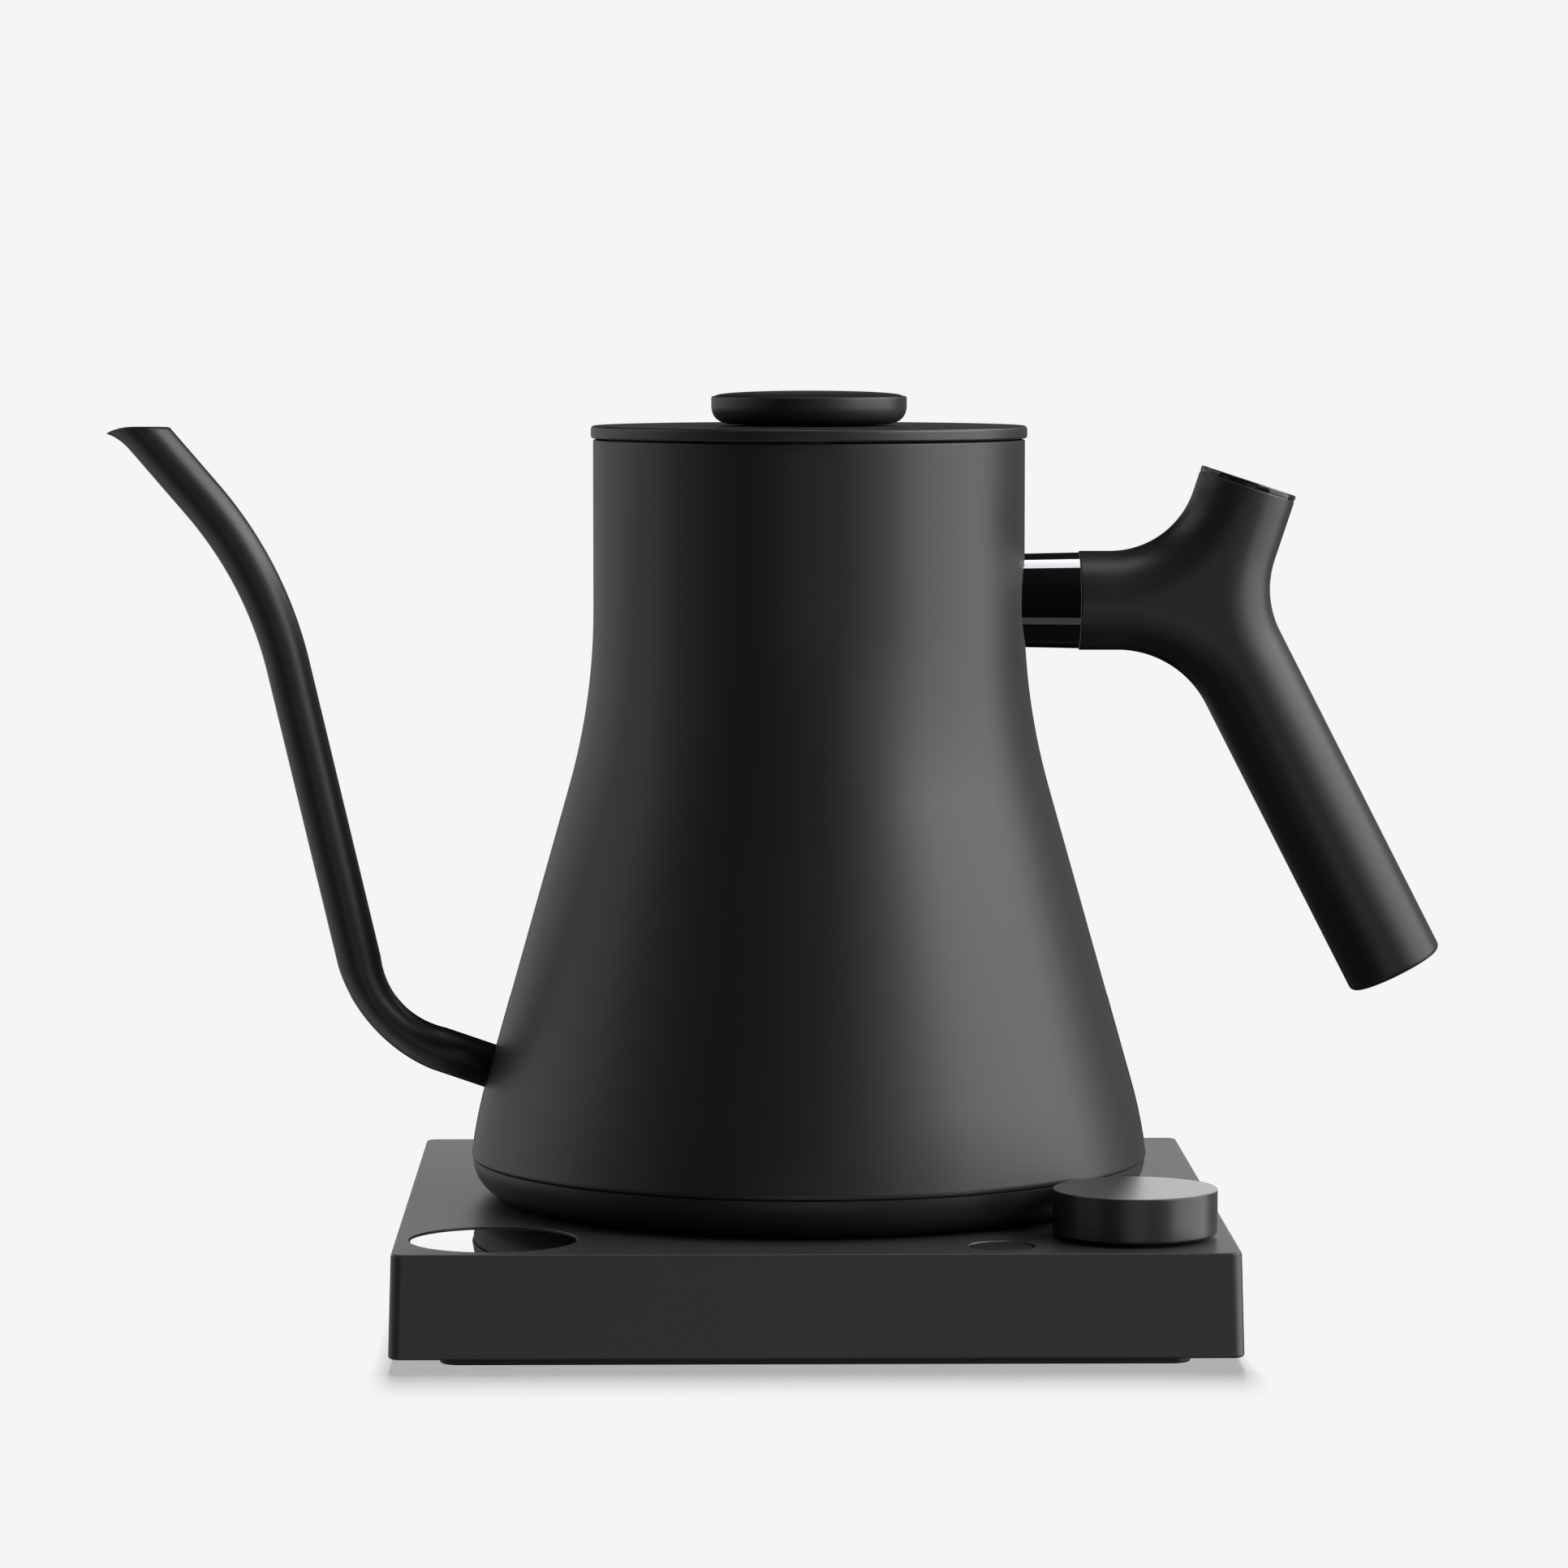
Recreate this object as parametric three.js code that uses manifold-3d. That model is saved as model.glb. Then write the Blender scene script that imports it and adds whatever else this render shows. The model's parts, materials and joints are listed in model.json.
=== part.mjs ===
// Gooseneck electric kettle on a square cordless base.
// Millimetres, +Z up. The origin is on the surface the base stands on, at the middle of the base.
// The spout points to -X, the handle to +X, and the display and dial are on the -Y side.

import * as THREE from "three";
import { mergeVertices } from "three/addons/utils/BufferGeometryUtils.js";
import Module from "manifold-3d";

const wasm = await Module();
wasm.setup();

const rad = THREE.MathUtils.degToRad;

// ---------------------------------------------------------------- driving dimensions

const gap = 0.3; // between pieces that touch on the real object
const eps = 1; // how far a cutting tool runs past the face it opens

// base station
const base_side = 174; // square side at the top of the housing
const base_draft = 0.6; // each side leans out by this much at the bottom
const housing_h = 21.6;
const housing_corner = 3.2;
const housing_wall = 2.2;
const edge_round = 0.7; // the housing's top edge
const plinth_inset = 9.5; // the plinth's side stands this far in from the housing's
const plinth_corner = 12;
const plinth_h = 1.7;
const pad_h = 1.1;
const cover_plate_h = 2;
const base_screw_side_inset = 17;
const base_screw_front_inset = 52;
const base_top = pad_h + gap + plinth_h + housing_h - gap; // height of the housing's top face

// display, dial and menu button, along the front edge
const display_r = 17.65;
const display_side_inset = 20.3; // from the housing's side and front faces to the middle
const display_front_inset = 21;
const glass_h = 1.2;
const glass_recess = 0.3;
const dial_r = 17.1;
const dial_side_inset = 20.4;
const dial_front_inset = 22.7;
const dial_clearance = 2.1; // between the dial and the kettle's shell, seen from above
const dial_float = 0.9; // from the housing's top up to the dial
const dial_h = 9.3;
const dial_press = 0.5;
const shaft_r = 3;
const button_r = 6.4;
const button_x = 38.3;
const button_front_inset = 10.8;
const button_recess = 0.2;
const button_press = 0.4;
const running_gap = 0.3;

// cordless connector in the middle of the base, and the half of it under the kettle
const boss_r = 17.2;
const boss_h = 5.5;
const connector_flange_r = 24;
const socket_clearance = 0.8;
const coupler_r = 21.5;
const coupler_flange_r = 26;
const pin_r = 2;
const contact_ring_r = 10.3;
const contact_ring_wall = 1.3;

// kettle body
const shell_wall = 1;
const rim_r = 46.6; // outside radius of the straight neck
const rim_z = 164.3; // these heights are above the base's top face
const flare_angle = rad(15.8);
const neck_z = 108.1; // where the neck's line meets the flare's line
const neck_arc = 142;
const hip_arc = 106;
const shell_edge_z = 9;
const shell_edge_angle = rad(7);
const floor_z = 16; // underside of the vessel's floor
const floor_h = 1;
const cover_tuck = 6.1; // the cover's foot stands this far in from the shell's edge
const cover_lift = 0.35; // running clearance over the base
const cover_wall = 2.2;
const cover_spigot_h = 4;
const kettle_screw_inset = 14.2; // from the cover's foot to the circle of screws
const probe_inset = 5.2; // from the cover's foot to the temperature probe

// spout
const spout_r = 4.75;
const spout_bore = 3.85;
const spout_root_z = 28.4; // centreline height where it meets the shell
const spout_root_angle = rad(19);
const spout_reach = 25.2; // from the shell to where the root's line meets the riser's line
const spout_low_arc = 25;
const riser_angle = rad(13.2); // from upright
const tip_bend_z = 135.3; // where the riser's line meets the tip's line
const tip_arc = 86;
const tip_angle = rad(40.6); // from upright
const tip_z = 167;
const lip_reach = 0.95;
const lip_drop = 1.35;

// handle
const handle_reach = 40; // from the kettle's neck to where the three limbs' axes meet
const handle_z = 129.4;
const handle_r = 10.75;
const connector_len = 11.9; // from the kettle's neck to the grip's face
const stub_len = 27.3;
const stub_angle = rad(18.3); // from upright, leaning away from the kettle
const grip_len = 91.4;
const grip_angle = rad(27.1); // from straight down, leaning away from the kettle
const fillet_arm_stub = 19;
const fillet_arm_grip = 21.7;
const fillet_back = 20;
const handle_bevel = 10; // rounding of the outline's edges, a little less than the radius
const connector_r = 10.35;
const tenon_r = 6.2;
const handle_cap_h = 1.1;

// lid
const lid_overhang = 0.6; // past the kettle's rim, all round
const lid_h = 2.7;
const lid_edge = 0.6;
const skirt_clearance = 2.2; // between the lid's skirt and the shell, for the seal
const skirt_h = 12;
const skirt_wall = 1.4;
const pull_r = 21.15;
const pull_h = 6; // to the edge of its crown
const pull_crown = 1.2;
const pull_foot_r = 16.6;
const pull_screw_r = 1.5;

// what follows from the sizes above
const half_base = base_side / 2;
const plinth_side = base_side - 2 * plinth_inset;
const lid_r = rim_r + lid_overhang;
const skirt_r = rim_r - shell_wall - skirt_clearance;
const arm_x = rim_r + connector_len;
const handle_x = rim_r + handle_reach;

// facets round a full turn
const coarse = 16;
const fine = 32;

// ---------------------------------------------------------------- materials

function finish(color, roughness, metalness) {
  return new THREE.MeshStandardMaterial({ color, roughness, metalness });
}

const coated_steel = finish(0x2a2a2b, 0.5, 0.35);
const bare_steel = finish(0xb9babc, 0.3, 1);
const black_chrome = finish(0x0c0c0d, 0.06, 1);
const black_plastic = finish(0x242425, 0.5, 0);
const dial_metal = finish(0x313132, 0.42, 0.4);
const soft_rubber = finish(0x101010, 0.85, 0);
const dark_glass = finish(0x050506, 0.03, 0);
const circuit_board = finish(0x1d4a2c, 0.6, 0);
const brass = finish(0xb08a3e, 0.3, 1);
const cast_aluminium = finish(0x9a9ca0, 0.45, 1);
const component_plastic = finish(0x2b3440, 0.6, 0);

// ---------------------------------------------------------------- solids

// A closed manifold solid from a three.js geometry, with its faces turned outwards.
function solid(geometry) {
  const bare = geometry.clone();
  for (const name of Object.keys(bare.attributes)) {
    if (name !== "position") bare.deleteAttribute(name);
  }
  const merged = mergeVertices(bare, 1e-4);
  const index = merged.index.array;
  const kept = [];
  for (let i = 0; i < index.length; i += 3) {
    const [a, b, c] = [index[i], index[i + 1], index[i + 2]];
    if (a !== b && b !== c && a !== c) kept.push(a, b, c);
  }
  const make = (triVerts) =>
    new wasm.Manifold(
      new wasm.Mesh({
        numProp: 3,
        vertProperties: merged.attributes.position.array,
        triVerts: new Uint32Array(triVerts),
      }),
    );
  const made = make(kept);
  if (made.volume() > 0) return made;
  for (let i = 0; i < kept.length; i += 3) {
    [kept[i + 1], kept[i + 2]] = [kept[i + 2], kept[i + 1]];
  }
  return make(kept);
}

// Back to a three.js geometry.
function geometryOf(made) {
  const mesh = made.getMesh();
  const geometry = new THREE.BufferGeometry();
  geometry.setAttribute("position", new THREE.BufferAttribute(mesh.vertProperties, 3));
  geometry.setIndex(new THREE.BufferAttribute(mesh.triVerts, 1));
  geometry.computeVertexNormals();
  return geometry;
}

const join = (first, ...others) => others.reduce((made, other) => made.add(other), first);
const cut = (first, ...others) => others.reduce((made, other) => made.subtract(other), first);

// A solid of revolution about Z, from [radius, height] pairs that run round its half section.
function turned(profile, segments = fine) {
  const points = profile.map(([r, z]) => new THREE.Vector2(r, z));
  const onAxis = profile[0][0] === 0 && profile.at(-1)[0] === 0;
  if (!onAxis) points.push(points[0].clone());
  return solid(new THREE.LatheGeometry(points, segments).rotateX(Math.PI / 2));
}

// An upright cylinder from z0 to z1.
function rod(r, z0, z1, segments = coarse) {
  const geometry = new THREE.CylinderGeometry(r, r, z1 - z0, segments);
  return solid(geometry.rotateX(Math.PI / 2).translate(0, 0, (z0 + z1) / 2));
}

// An upright tube from z0 to z1.
function tube(inner, outer, z0, z1, segments = coarse) {
  return turned([[inner, z0], [outer, z0], [outer, z1], [inner, z1]], segments);
}

function block(x, y, z0, z1) {
  return solid(new THREE.BoxGeometry(x, y, z1 - z0).translate(0, 0, (z0 + z1) / 2));
}

// A cylinder along +X from x0 to x1.
function barX(r, x0, x1, segments = coarse) {
  const geometry = new THREE.CylinderGeometry(r, r, x1 - x0, segments);
  return solid(geometry.rotateZ(Math.PI / 2).translate((x0 + x1) / 2, 0, 0));
}

function roundedSquare(side, corner) {
  const half = side / 2;
  const shape = new THREE.Shape();
  const inner = half - corner;
  shape.absarc(inner, inner, corner, 0, Math.PI / 2);
  shape.absarc(-inner, inner, corner, Math.PI / 2, Math.PI);
  shape.absarc(-inner, -inner, corner, Math.PI, 1.5 * Math.PI);
  shape.absarc(inner, -inner, corner, 1.5 * Math.PI, 2 * Math.PI);
  shape.closePath();
  return shape;
}

// A square plate with round corners, from z0 to z1.
function plate(side, corner, z0, z1) {
  const settings = { depth: z1 - z0, bevelEnabled: false, curveSegments: 3 };
  const geometry = new THREE.ExtrudeGeometry(roundedSquare(side, corner), settings);
  return solid(geometry.translate(0, 0, z0));
}

// The same plate with one rounded edge all round, at its top or at its foot.
function plateWithRoundedEdge(side, corner, z0, z1, round, atTop) {
  const settings = {
    depth: z1 - z0 - round,
    bevelEnabled: true,
    bevelThickness: round,
    bevelSize: round,
    bevelOffset: -round,
    bevelSegments: 2,
    curveSegments: 3,
  };
  const rounded = solid(
    new THREE.ExtrudeGeometry(roundedSquare(side, corner), settings).translate(0, 0, atTop ? z0 : z0 + round),
  );
  const keep = block(side * 2, side * 2, z0, z1);
  return rounded.intersect(keep);
}

function placed(made, x, y, z = 0) {
  return made.translate([x, y, z]);
}

function meshOf(name, made, material) {
  const mesh = new THREE.Mesh(geometryOf(made), material);
  mesh.name = name;
  return mesh;
}

// A curve in the XZ plane that follows a flat path.
class SideCurve extends THREE.Curve {
  constructor(path) {
    super();
    this.path = path;
  }
  getPoint(t) {
    const p = this.path.getPointAt(t);
    return new THREE.Vector3(p.x, 0, p.y);
  }
}

// ---------------------------------------------------------------- kettle: shapes

// The kettle's outline, moved inwards by inset, as [radius, height] pairs from foot to rim.
function bodyOutline(inset, z0 = shell_edge_z, z1 = rim_z) {
  const hipTop = shell_edge_z + hip_arc * (Math.sin(flare_angle) - Math.sin(shell_edge_angle));
  const neckTop = neck_z + neck_arc * Math.tan(flare_angle / 2);
  const hipR = rim_r + Math.tan(flare_angle) * (neck_z - hipTop);
  const hipX = hipR - hip_arc * Math.cos(flare_angle);
  const hipZ = hipTop - hip_arc * Math.sin(flare_angle);
  const path = new THREE.Path();
  path.absarc(hipX, hipZ, hip_arc - inset, shell_edge_angle, flare_angle, false);
  path.absarc(rim_r + neck_arc, neckTop, neck_arc + inset, Math.PI + flare_angle, Math.PI, true);
  path.lineTo(rim_r - inset, rim_z + eps);
  const points = path.getPoints(2).map((p) => [p.x, p.y]);
  points[0] = [points[0][0] + Math.tan(shell_edge_angle) * eps, points[0][1] - eps];
  const radiusAt = (z) => {
    const i = Math.max(1, points.findIndex(([, height]) => height >= z));
    const [[r0, h0], [r1, h1]] = [points[i - 1], points[i]];
    return r0 + ((r1 - r0) * (z - h0)) / (h1 - h0);
  };
  const inside = points.filter(([, z]) => z > z0 + 1e-6 && z < z1 - 1e-6);
  return [[radiusAt(z0), z0], ...inside, [radiusAt(z1), z1]];
}

const shellRadius = (z, inset = 0) => bodyOutline(inset, z, z + eps)[0][0];

// Everything within the kettle's outline grown by a gap, to trim what butts against the shell.
function bodyCore(grow) {
  const outline = bodyOutline(-grow);
  return turned([[0, shell_edge_z], ...outline, [0, rim_z]]);
}

// The direction of the spout where it leaves the shell, and its centreline.
const spout_root_x = -shellRadius(spout_root_z);
const spout_bend_x = spout_root_x - spout_reach;
const spout_bend_z = spout_root_z + spout_reach * Math.tan(spout_root_angle);

// The corners of the spout's centreline, before they are rounded.
function spoutCorners() {
  const into = 12; // the line starts inside the shell and is trimmed there
  const rise = tip_bend_z - spout_bend_z;
  const tipBendX = spout_bend_x - rise * Math.tan(riser_angle);
  const above = 8; // past the tip, and trimmed there
  const tipRun = tip_z + above - tip_bend_z;
  return [
    new THREE.Vector2(
      spout_root_x + into * Math.cos(spout_root_angle),
      spout_root_z - into * Math.sin(spout_root_angle),
    ),
    new THREE.Vector2(spout_bend_x, spout_bend_z),
    new THREE.Vector2(tipBendX, tip_bend_z),
    new THREE.Vector2(tipBendX - tipRun * Math.tan(tip_angle), tip_z + above),
  ];
}

// A path through corners, with each inner corner rounded by an arc that touches both lines.
function roundedPath(corners, radii) {
  const path = new THREE.Path();
  path.moveTo(corners[0].x, corners[0].y);
  for (let i = 1; i < corners.length - 1; i += 1) {
    const back = corners[i - 1].clone().sub(corners[i]).normalize();
    const ahead = corners[i + 1].clone().sub(corners[i]).normalize();
    const half = Math.acos(back.dot(ahead)) / 2;
    const touch = radii[i - 1] / Math.tan(half);
    const start = corners[i].clone().addScaledVector(back, touch);
    const end = corners[i].clone().addScaledVector(ahead, touch);
    const middle = back.clone().add(ahead).normalize();
    const centre = corners[i].clone().addScaledVector(middle, radii[i - 1] / Math.sin(half));
    const clockwise = back.cross(ahead) > 0;
    path.lineTo(start.x, start.y);
    path.absarc(
      centre.x,
      centre.y,
      radii[i - 1],
      start.clone().sub(centre).angle(),
      end.clone().sub(centre).angle(),
      clockwise,
    );
  }
  const last = corners.at(-1);
  path.lineTo(last.x, last.y);
  return path;
}

function spoutBar(r) {
  const section = new THREE.Shape();
  section.absarc(0, 0, r, 0, 2 * Math.PI);
  const line = new SideCurve(roundedPath(spoutCorners(), [spout_low_arc, tip_arc]));
  return solid(new THREE.ExtrudeGeometry(section, { steps: 30, curveSegments: 5, extrudePath: line }));
}

// The wedge of metal drawn out past the tube into a pouring lip.
function spoutLip() {
  const [, , bend, end] = spoutCorners();
  const axisX = bend.x + ((end.x - bend.x) * (tip_z - bend.y)) / (end.y - bend.y);
  const reach = spout_r / Math.cos(tip_angle);
  const wall = spout_r - spout_bore;
  const profile = new THREE.Shape();
  profile.moveTo(axisX - reach - lip_reach, tip_z - lip_drop);
  profile.lineTo(axisX - reach + 3, tip_z - 4);
  profile.lineTo(axisX - reach + 3 + wall, tip_z - 3);
  profile.lineTo(axisX - reach + 1 + wall, tip_z - gap);
  profile.lineTo(axisX - reach, tip_z - gap);
  profile.closePath();
  const width = spout_r * 0.9;
  const settings = { depth: width, bevelEnabled: false };
  const geometry = new THREE.ExtrudeGeometry(profile, settings).rotateX(Math.PI / 2);
  return solid(geometry.translate(0, width / 2, 0));
}

function spoutTube() {
  const far = 400;
  const aboveTip = block(far, far, tip_z, tip_z + far);
  const pipe = join(spoutBar(spout_r), spoutLip());
  return cut(pipe, spoutBar(spout_bore), bodyCore(gap), aboveTip);
}

function kettleShell() {
  const outer = bodyOutline(0);
  const inner = bodyOutline(shell_wall).reverse();
  const wall = turned([...outer, ...inner]);
  return cut(wall, spoutBar(spout_bore));
}

// Sizes of the cover that follow from the shell's foot.
const cover_foot_r = shellRadius(shell_edge_z) - cover_tuck;
const kettle_screw_r = cover_foot_r - kettle_screw_inset;
const spigot_room = 1.3; // between the cover's spigot and the shell, for the gasket
const kettle_screw_boss_r = 4.6;
const kettle_screw_well_r = 3.3;

function kettleBaseCover() {
  const shoulder_z = shell_edge_z - gap;
  const shoulder_r = shellRadius(shell_edge_z) - 0.1;
  const spigot_r = shellRadius(shell_edge_z + cover_spigot_h, shell_wall) - spigot_room;
  const bottom = cover_lift;
  const skirt = new THREE.Path();
  skirt.moveTo(cover_foot_r, bottom);
  skirt.quadraticCurveTo(shoulder_r, bottom + 2.4, shoulder_r, shoulder_z);
  const curve = skirt.getPoints(4).map((p) => [p.x, p.y]);
  const hole_r = coupler_r + running_gap + 0.4;
  const ring = turned([
    [hole_r, bottom],
    ...curve,
    [spigot_r, shoulder_z],
    [spigot_r, shoulder_z + cover_spigot_h],
    [spigot_r - 1.6, shoulder_z + cover_spigot_h],
    [spigot_r - 1.6, shoulder_z - 1.2],
    [cover_foot_r - 1.6, bottom + cover_wall],
    [hole_r, bottom + cover_wall],
  ]);
  const bosses = kettleScrewPlaces().map(([x, y]) => placed(rod(kettle_screw_boss_r, bottom + 1, 8), x, y));
  const wells = kettleScrewPlaces().map(([x, y]) => placed(rod(kettle_screw_well_r, bottom - eps, 3.6), x, y));
  const holes = kettleScrewPlaces().map(([x, y]) => placed(rod(1.9, 0, 9), x, y));
  return cut(join(ring, ...bosses), ...wells, ...holes);
}

function kettleScrewPlaces() {
  return [30, 150, 270].map((degrees) => [
    kettle_screw_r * Math.cos(rad(degrees)),
    kettle_screw_r * Math.sin(rad(degrees)),
  ]);
}

// A round-headed screw whose head starts at z0 and whose shank ends at z1.
function screw(head_r, head_h, shank_r, z0, z1) {
  return turned(
    [[0, z0], [head_r * 0.8, z0], [head_r, z0 + head_h * 0.4], [head_r, z0 + head_h],
     [shank_r, z0 + head_h], [shank_r, z1], [0, z1]],
    12,
  );
}

const kettleScrew = () => screw(kettle_screw_well_r - 0.4, 1.6, 1.5, 1.6, 12);

const probe_place = [0, cover_foot_r - probe_inset];
const probe_r = 2.5;

function vesselFloor() {
  const r = shellRadius(floor_z + floor_h, shell_wall) - gap - 0.1;
  const dish = turned([
    [0, floor_z], [r - 1, floor_z], [r - 1, floor_z - 2.2], [r, floor_z - 2.2],
    [r, floor_z + floor_h], [0, floor_z + floor_h],
  ]);
  return cut(dish, placed(rod(probe_r + gap, floor_z - eps, floor_z + 3), ...probe_place));
}

const spreader_r = kettle_screw_r + 5;
const spreader_z = floor_z - gap - 2.6;

function heatSpreader() {
  const disc = rod(spreader_r, spreader_z, floor_z - gap, fine);
  const posts = kettleScrewPlaces().map(([x, y]) => placed(rod(3.6, 8.4, spreader_z + 1), x, y));
  const pilots = kettleScrewPlaces().map(([x, y]) => placed(rod(1.8, 8, spreader_z + 1.2), x, y));
  return cut(join(disc, ...posts), ...pilots);
}

// The sheathed element: most of a ring, with both ends turned down as terminals.
function heatingElement() {
  const ring_r = kettle_screw_r - 9;
  const sheath_r = 3;
  const z = spreader_z - gap - sheath_r;
  const section = new THREE.Shape();
  section.absarc(0, 0, sheath_r, 0, 2 * Math.PI);
  const arc = new THREE.Path();
  arc.absarc(0, 0, ring_r, rad(110), rad(430));
  class FlatCurve extends THREE.Curve {
    getPoint(t) {
      const p = arc.getPointAt(t);
      return new THREE.Vector3(p.x, p.y, z);
    }
  }
  const settings = { steps: 30, curveSegments: 4, extrudePath: new FlatCurve() };
  const loop = solid(new THREE.ExtrudeGeometry(section, settings));
  const terminal = (degrees) => {
    const angle = rad(degrees);
    return placed(rod(1.2, z - sheath_r - 1.6, z, 8), ring_r * Math.cos(angle), ring_r * Math.sin(angle));
  };
  return join(loop, terminal(112), terminal(428));
}

const temperatureProbe = () =>
  placed(turned([[0, 10], [probe_r, 10], [probe_r, 25], [probe_r - 1, 26], [0, 26]], 12), ...probe_place);

function probeSeal() {
  const foot = floor_z + floor_h + gap;
  return placed(tube(probe_r + gap, probe_r + 2.4, foot, foot + 1.3, 16), ...probe_place);
}

function shellGasket() {
  const inner = shellRadius(shell_edge_z + cover_spigot_h, shell_wall) - spigot_room + gap;
  const outer = shellRadius(shell_edge_z + cover_spigot_h, shell_wall) - gap;
  return tube(inner, outer, shell_edge_z + gap, shell_edge_z + 3, fine);
}

// ---------------------------------------------------------------- kettle: half of the cordless coupling

const socket_r = boss_r + socket_clearance;
const socket_top = boss_h + socket_clearance;

function kettleCoupler() {
  const flange_z = cover_lift + cover_wall + gap;
  return turned([
    [socket_r, cover_lift + 0.3], [coupler_r, cover_lift + 0.3], [coupler_r, flange_z],
    [coupler_flange_r, flange_z], [coupler_flange_r, flange_z + 1.4], [coupler_r, flange_z + 1.4],
    [coupler_r, socket_top + 2], [pin_r + gap, socket_top + 2], [pin_r + gap, socket_top],
    [contact_ring_r - gap, socket_top], [contact_ring_r - gap, socket_top + 1.2],
    [contact_ring_r + contact_ring_wall + gap, socket_top + 1.2],
    [contact_ring_r + contact_ring_wall + gap, socket_top], [socket_r, socket_top],
  ]);
}

const couplerPin = () =>
  turned([[0, 1.2], [pin_r - 0.8, 1.2], [pin_r, 2.4], [pin_r, socket_top + 3], [0, socket_top + 3]], 16);

const couplerRing = () =>
  tube(contact_ring_r, contact_ring_r + contact_ring_wall, 2, socket_top + 0.9, fine);

const cutoutSwitch = () => tube(pin_r + 1.4, 12, socket_top + 2 + gap, spreader_z - gap, coarse);

// ---------------------------------------------------------------- handle

const stubDirection = new THREE.Vector2(Math.sin(stub_angle), Math.cos(stub_angle));
const gripDirection = new THREE.Vector2(Math.sin(grip_angle), -Math.cos(grip_angle));
const armDirection = new THREE.Vector2(-1, 0);
const handleCentre = new THREE.Vector2(handle_x, handle_z);

// Where the facing edges of two limbs cross, each edge lying one radius off its limb's axis.
function crotch(a, b) {
  const between = a.clone().add(b).normalize();
  const half = Math.acos(a.dot(b)) / 2;
  return handleCentre.clone().addScaledVector(between, handle_r / Math.sin(half));
}

// The Y outline of the grip in the XZ plane, with each limb run past its end by the bevel.
function gripOutline() {
  const past = handle_bevel + 2;
  const corner = (direction, length, side) => {
    const across = new THREE.Vector2(-direction.y, direction.x);
    return handleCentre
      .clone()
      .addScaledVector(direction, length + past)
      .addScaledVector(across, side * handle_r);
  };
  const arm_len = handle_x - arm_x;
  const corners = [
    corner(armDirection, arm_len, -1),
    crotch(armDirection, stubDirection),
    corner(stubDirection, stub_len, 1),
    corner(stubDirection, stub_len, -1),
    crotch(stubDirection, gripDirection),
    corner(gripDirection, grip_len, 1),
    corner(gripDirection, grip_len, -1),
    crotch(gripDirection, armDirection),
    corner(armDirection, arm_len, 1),
  ];
  const upper = roundedPath(corners.slice(0, 3), [fillet_arm_stub]);
  const back = roundedPath(corners.slice(3, 6), [fillet_back]);
  const lower = roundedPath(corners.slice(6, 9), [fillet_arm_grip]);
  const points = [upper, back, lower].flatMap((path) => path.getPoints(4));
  return new THREE.Shape(points);
}

function gripBody() {
  const settings = {
    depth: 2 * (handle_r - handle_bevel),
    bevelEnabled: true,
    bevelThickness: handle_bevel,
    bevelSize: handle_bevel,
    bevelOffset: -handle_bevel,
    bevelSegments: 4,
  };
  const geometry = new THREE.ExtrudeGeometry(gripOutline(), settings).rotateX(Math.PI / 2);
  return solid(geometry.translate(0, handle_r - handle_bevel, 0));
}

// A solid built upright at the origin, set along a limb with its foot at the limbs' meeting point.
function alongLimb(made, direction) {
  const turn = THREE.MathUtils.radToDeg(Math.atan2(direction.x, direction.y));
  return made.rotate([0, turn, 0]).translate([handle_x, 0, handle_z]);
}

const stub_bore_r = tenon_r + gap;
const cap_seat = stub_len - handle_cap_h - gap; // along the stub's axis

function handleGrip() {
  const far = 80;
  const beyondArm = placed(block(far, far, -far / 2, far / 2), arm_x - far / 2, 0, handle_z);
  const beyondStub = alongLimb(block(far, far, cap_seat, cap_seat + far), stubDirection);
  const beyondGrip = alongLimb(block(far, far, grip_len, grip_len + far), gripDirection);
  const tenonSocket = barX(tenon_r + gap, arm_x - eps, handle_x + tenon_r + 1).translate([0, 0, handle_z]);
  const stubBore = alongLimb(rod(stub_bore_r, 0, stub_len + eps), stubDirection);
  const pilot = alongLimb(rod(handle_screw_r + gap, -tenon_r - 9, 1, 12), stubDirection);
  return cut(gripBody(), beyondArm, beyondStub, beyondGrip, tenonSocket, stubBore, pilot);
}

const cap_plug_h = 4;

function handleCap() {
  const disc = rod(handle_r - 0.1, stub_len - handle_cap_h, stub_len, 28);
  const plug = rod(stub_bore_r - gap, stub_len - handle_cap_h - cap_plug_h, stub_len - handle_cap_h / 2);
  return alongLimb(join(disc, plug), stubDirection);
}

// The screw's head rests on the tenon, which it meets at the stub's angle.
const handle_screw_r = 2.4;
const handle_screw_head_r = 4.4;
const handle_screw_head_h = 3;
const handle_screw_z =
  (tenon_r + gap + handle_screw_head_r * Math.sin(stub_angle)) / Math.cos(stub_angle);

const weight_top = stub_len - handle_cap_h - cap_plug_h - gap;
const weight_foot = handle_screw_z + handle_screw_head_h + gap;
const handleWeight = () => alongLimb(rod(stub_bore_r - gap, weight_foot, weight_top), stubDirection);

function handleConnector() {
  const barrel = barX(connector_r, shellRadius(handle_z) - 6, arm_x - gap, fine);
  const tenon = barX(tenon_r, arm_x - 2, handle_x + tenon_r, coarse);
  const bar = join(barrel, tenon).translate([0, 0, handle_z]);
  const hole = alongLimb(rod(handle_screw_r + gap + 0.1, -tenon_r * 2, tenon_r * 2, 12), stubDirection);
  return cut(bar, bodyCore(gap), hole);
}

// Runs down the stub, through the tenon and into the grip.
function handleScrew() {
  const foot = -tenon_r - 8;
  const made = turned(
    [
      [0, foot], [handle_screw_r, foot], [handle_screw_r, handle_screw_z],
      [handle_screw_head_r, handle_screw_z], [handle_screw_head_r, handle_screw_z + handle_screw_head_h],
      [0, handle_screw_z + handle_screw_head_h],
    ],
    12,
  );
  return alongLimb(made, stubDirection);
}

// ---------------------------------------------------------------- lid

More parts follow.
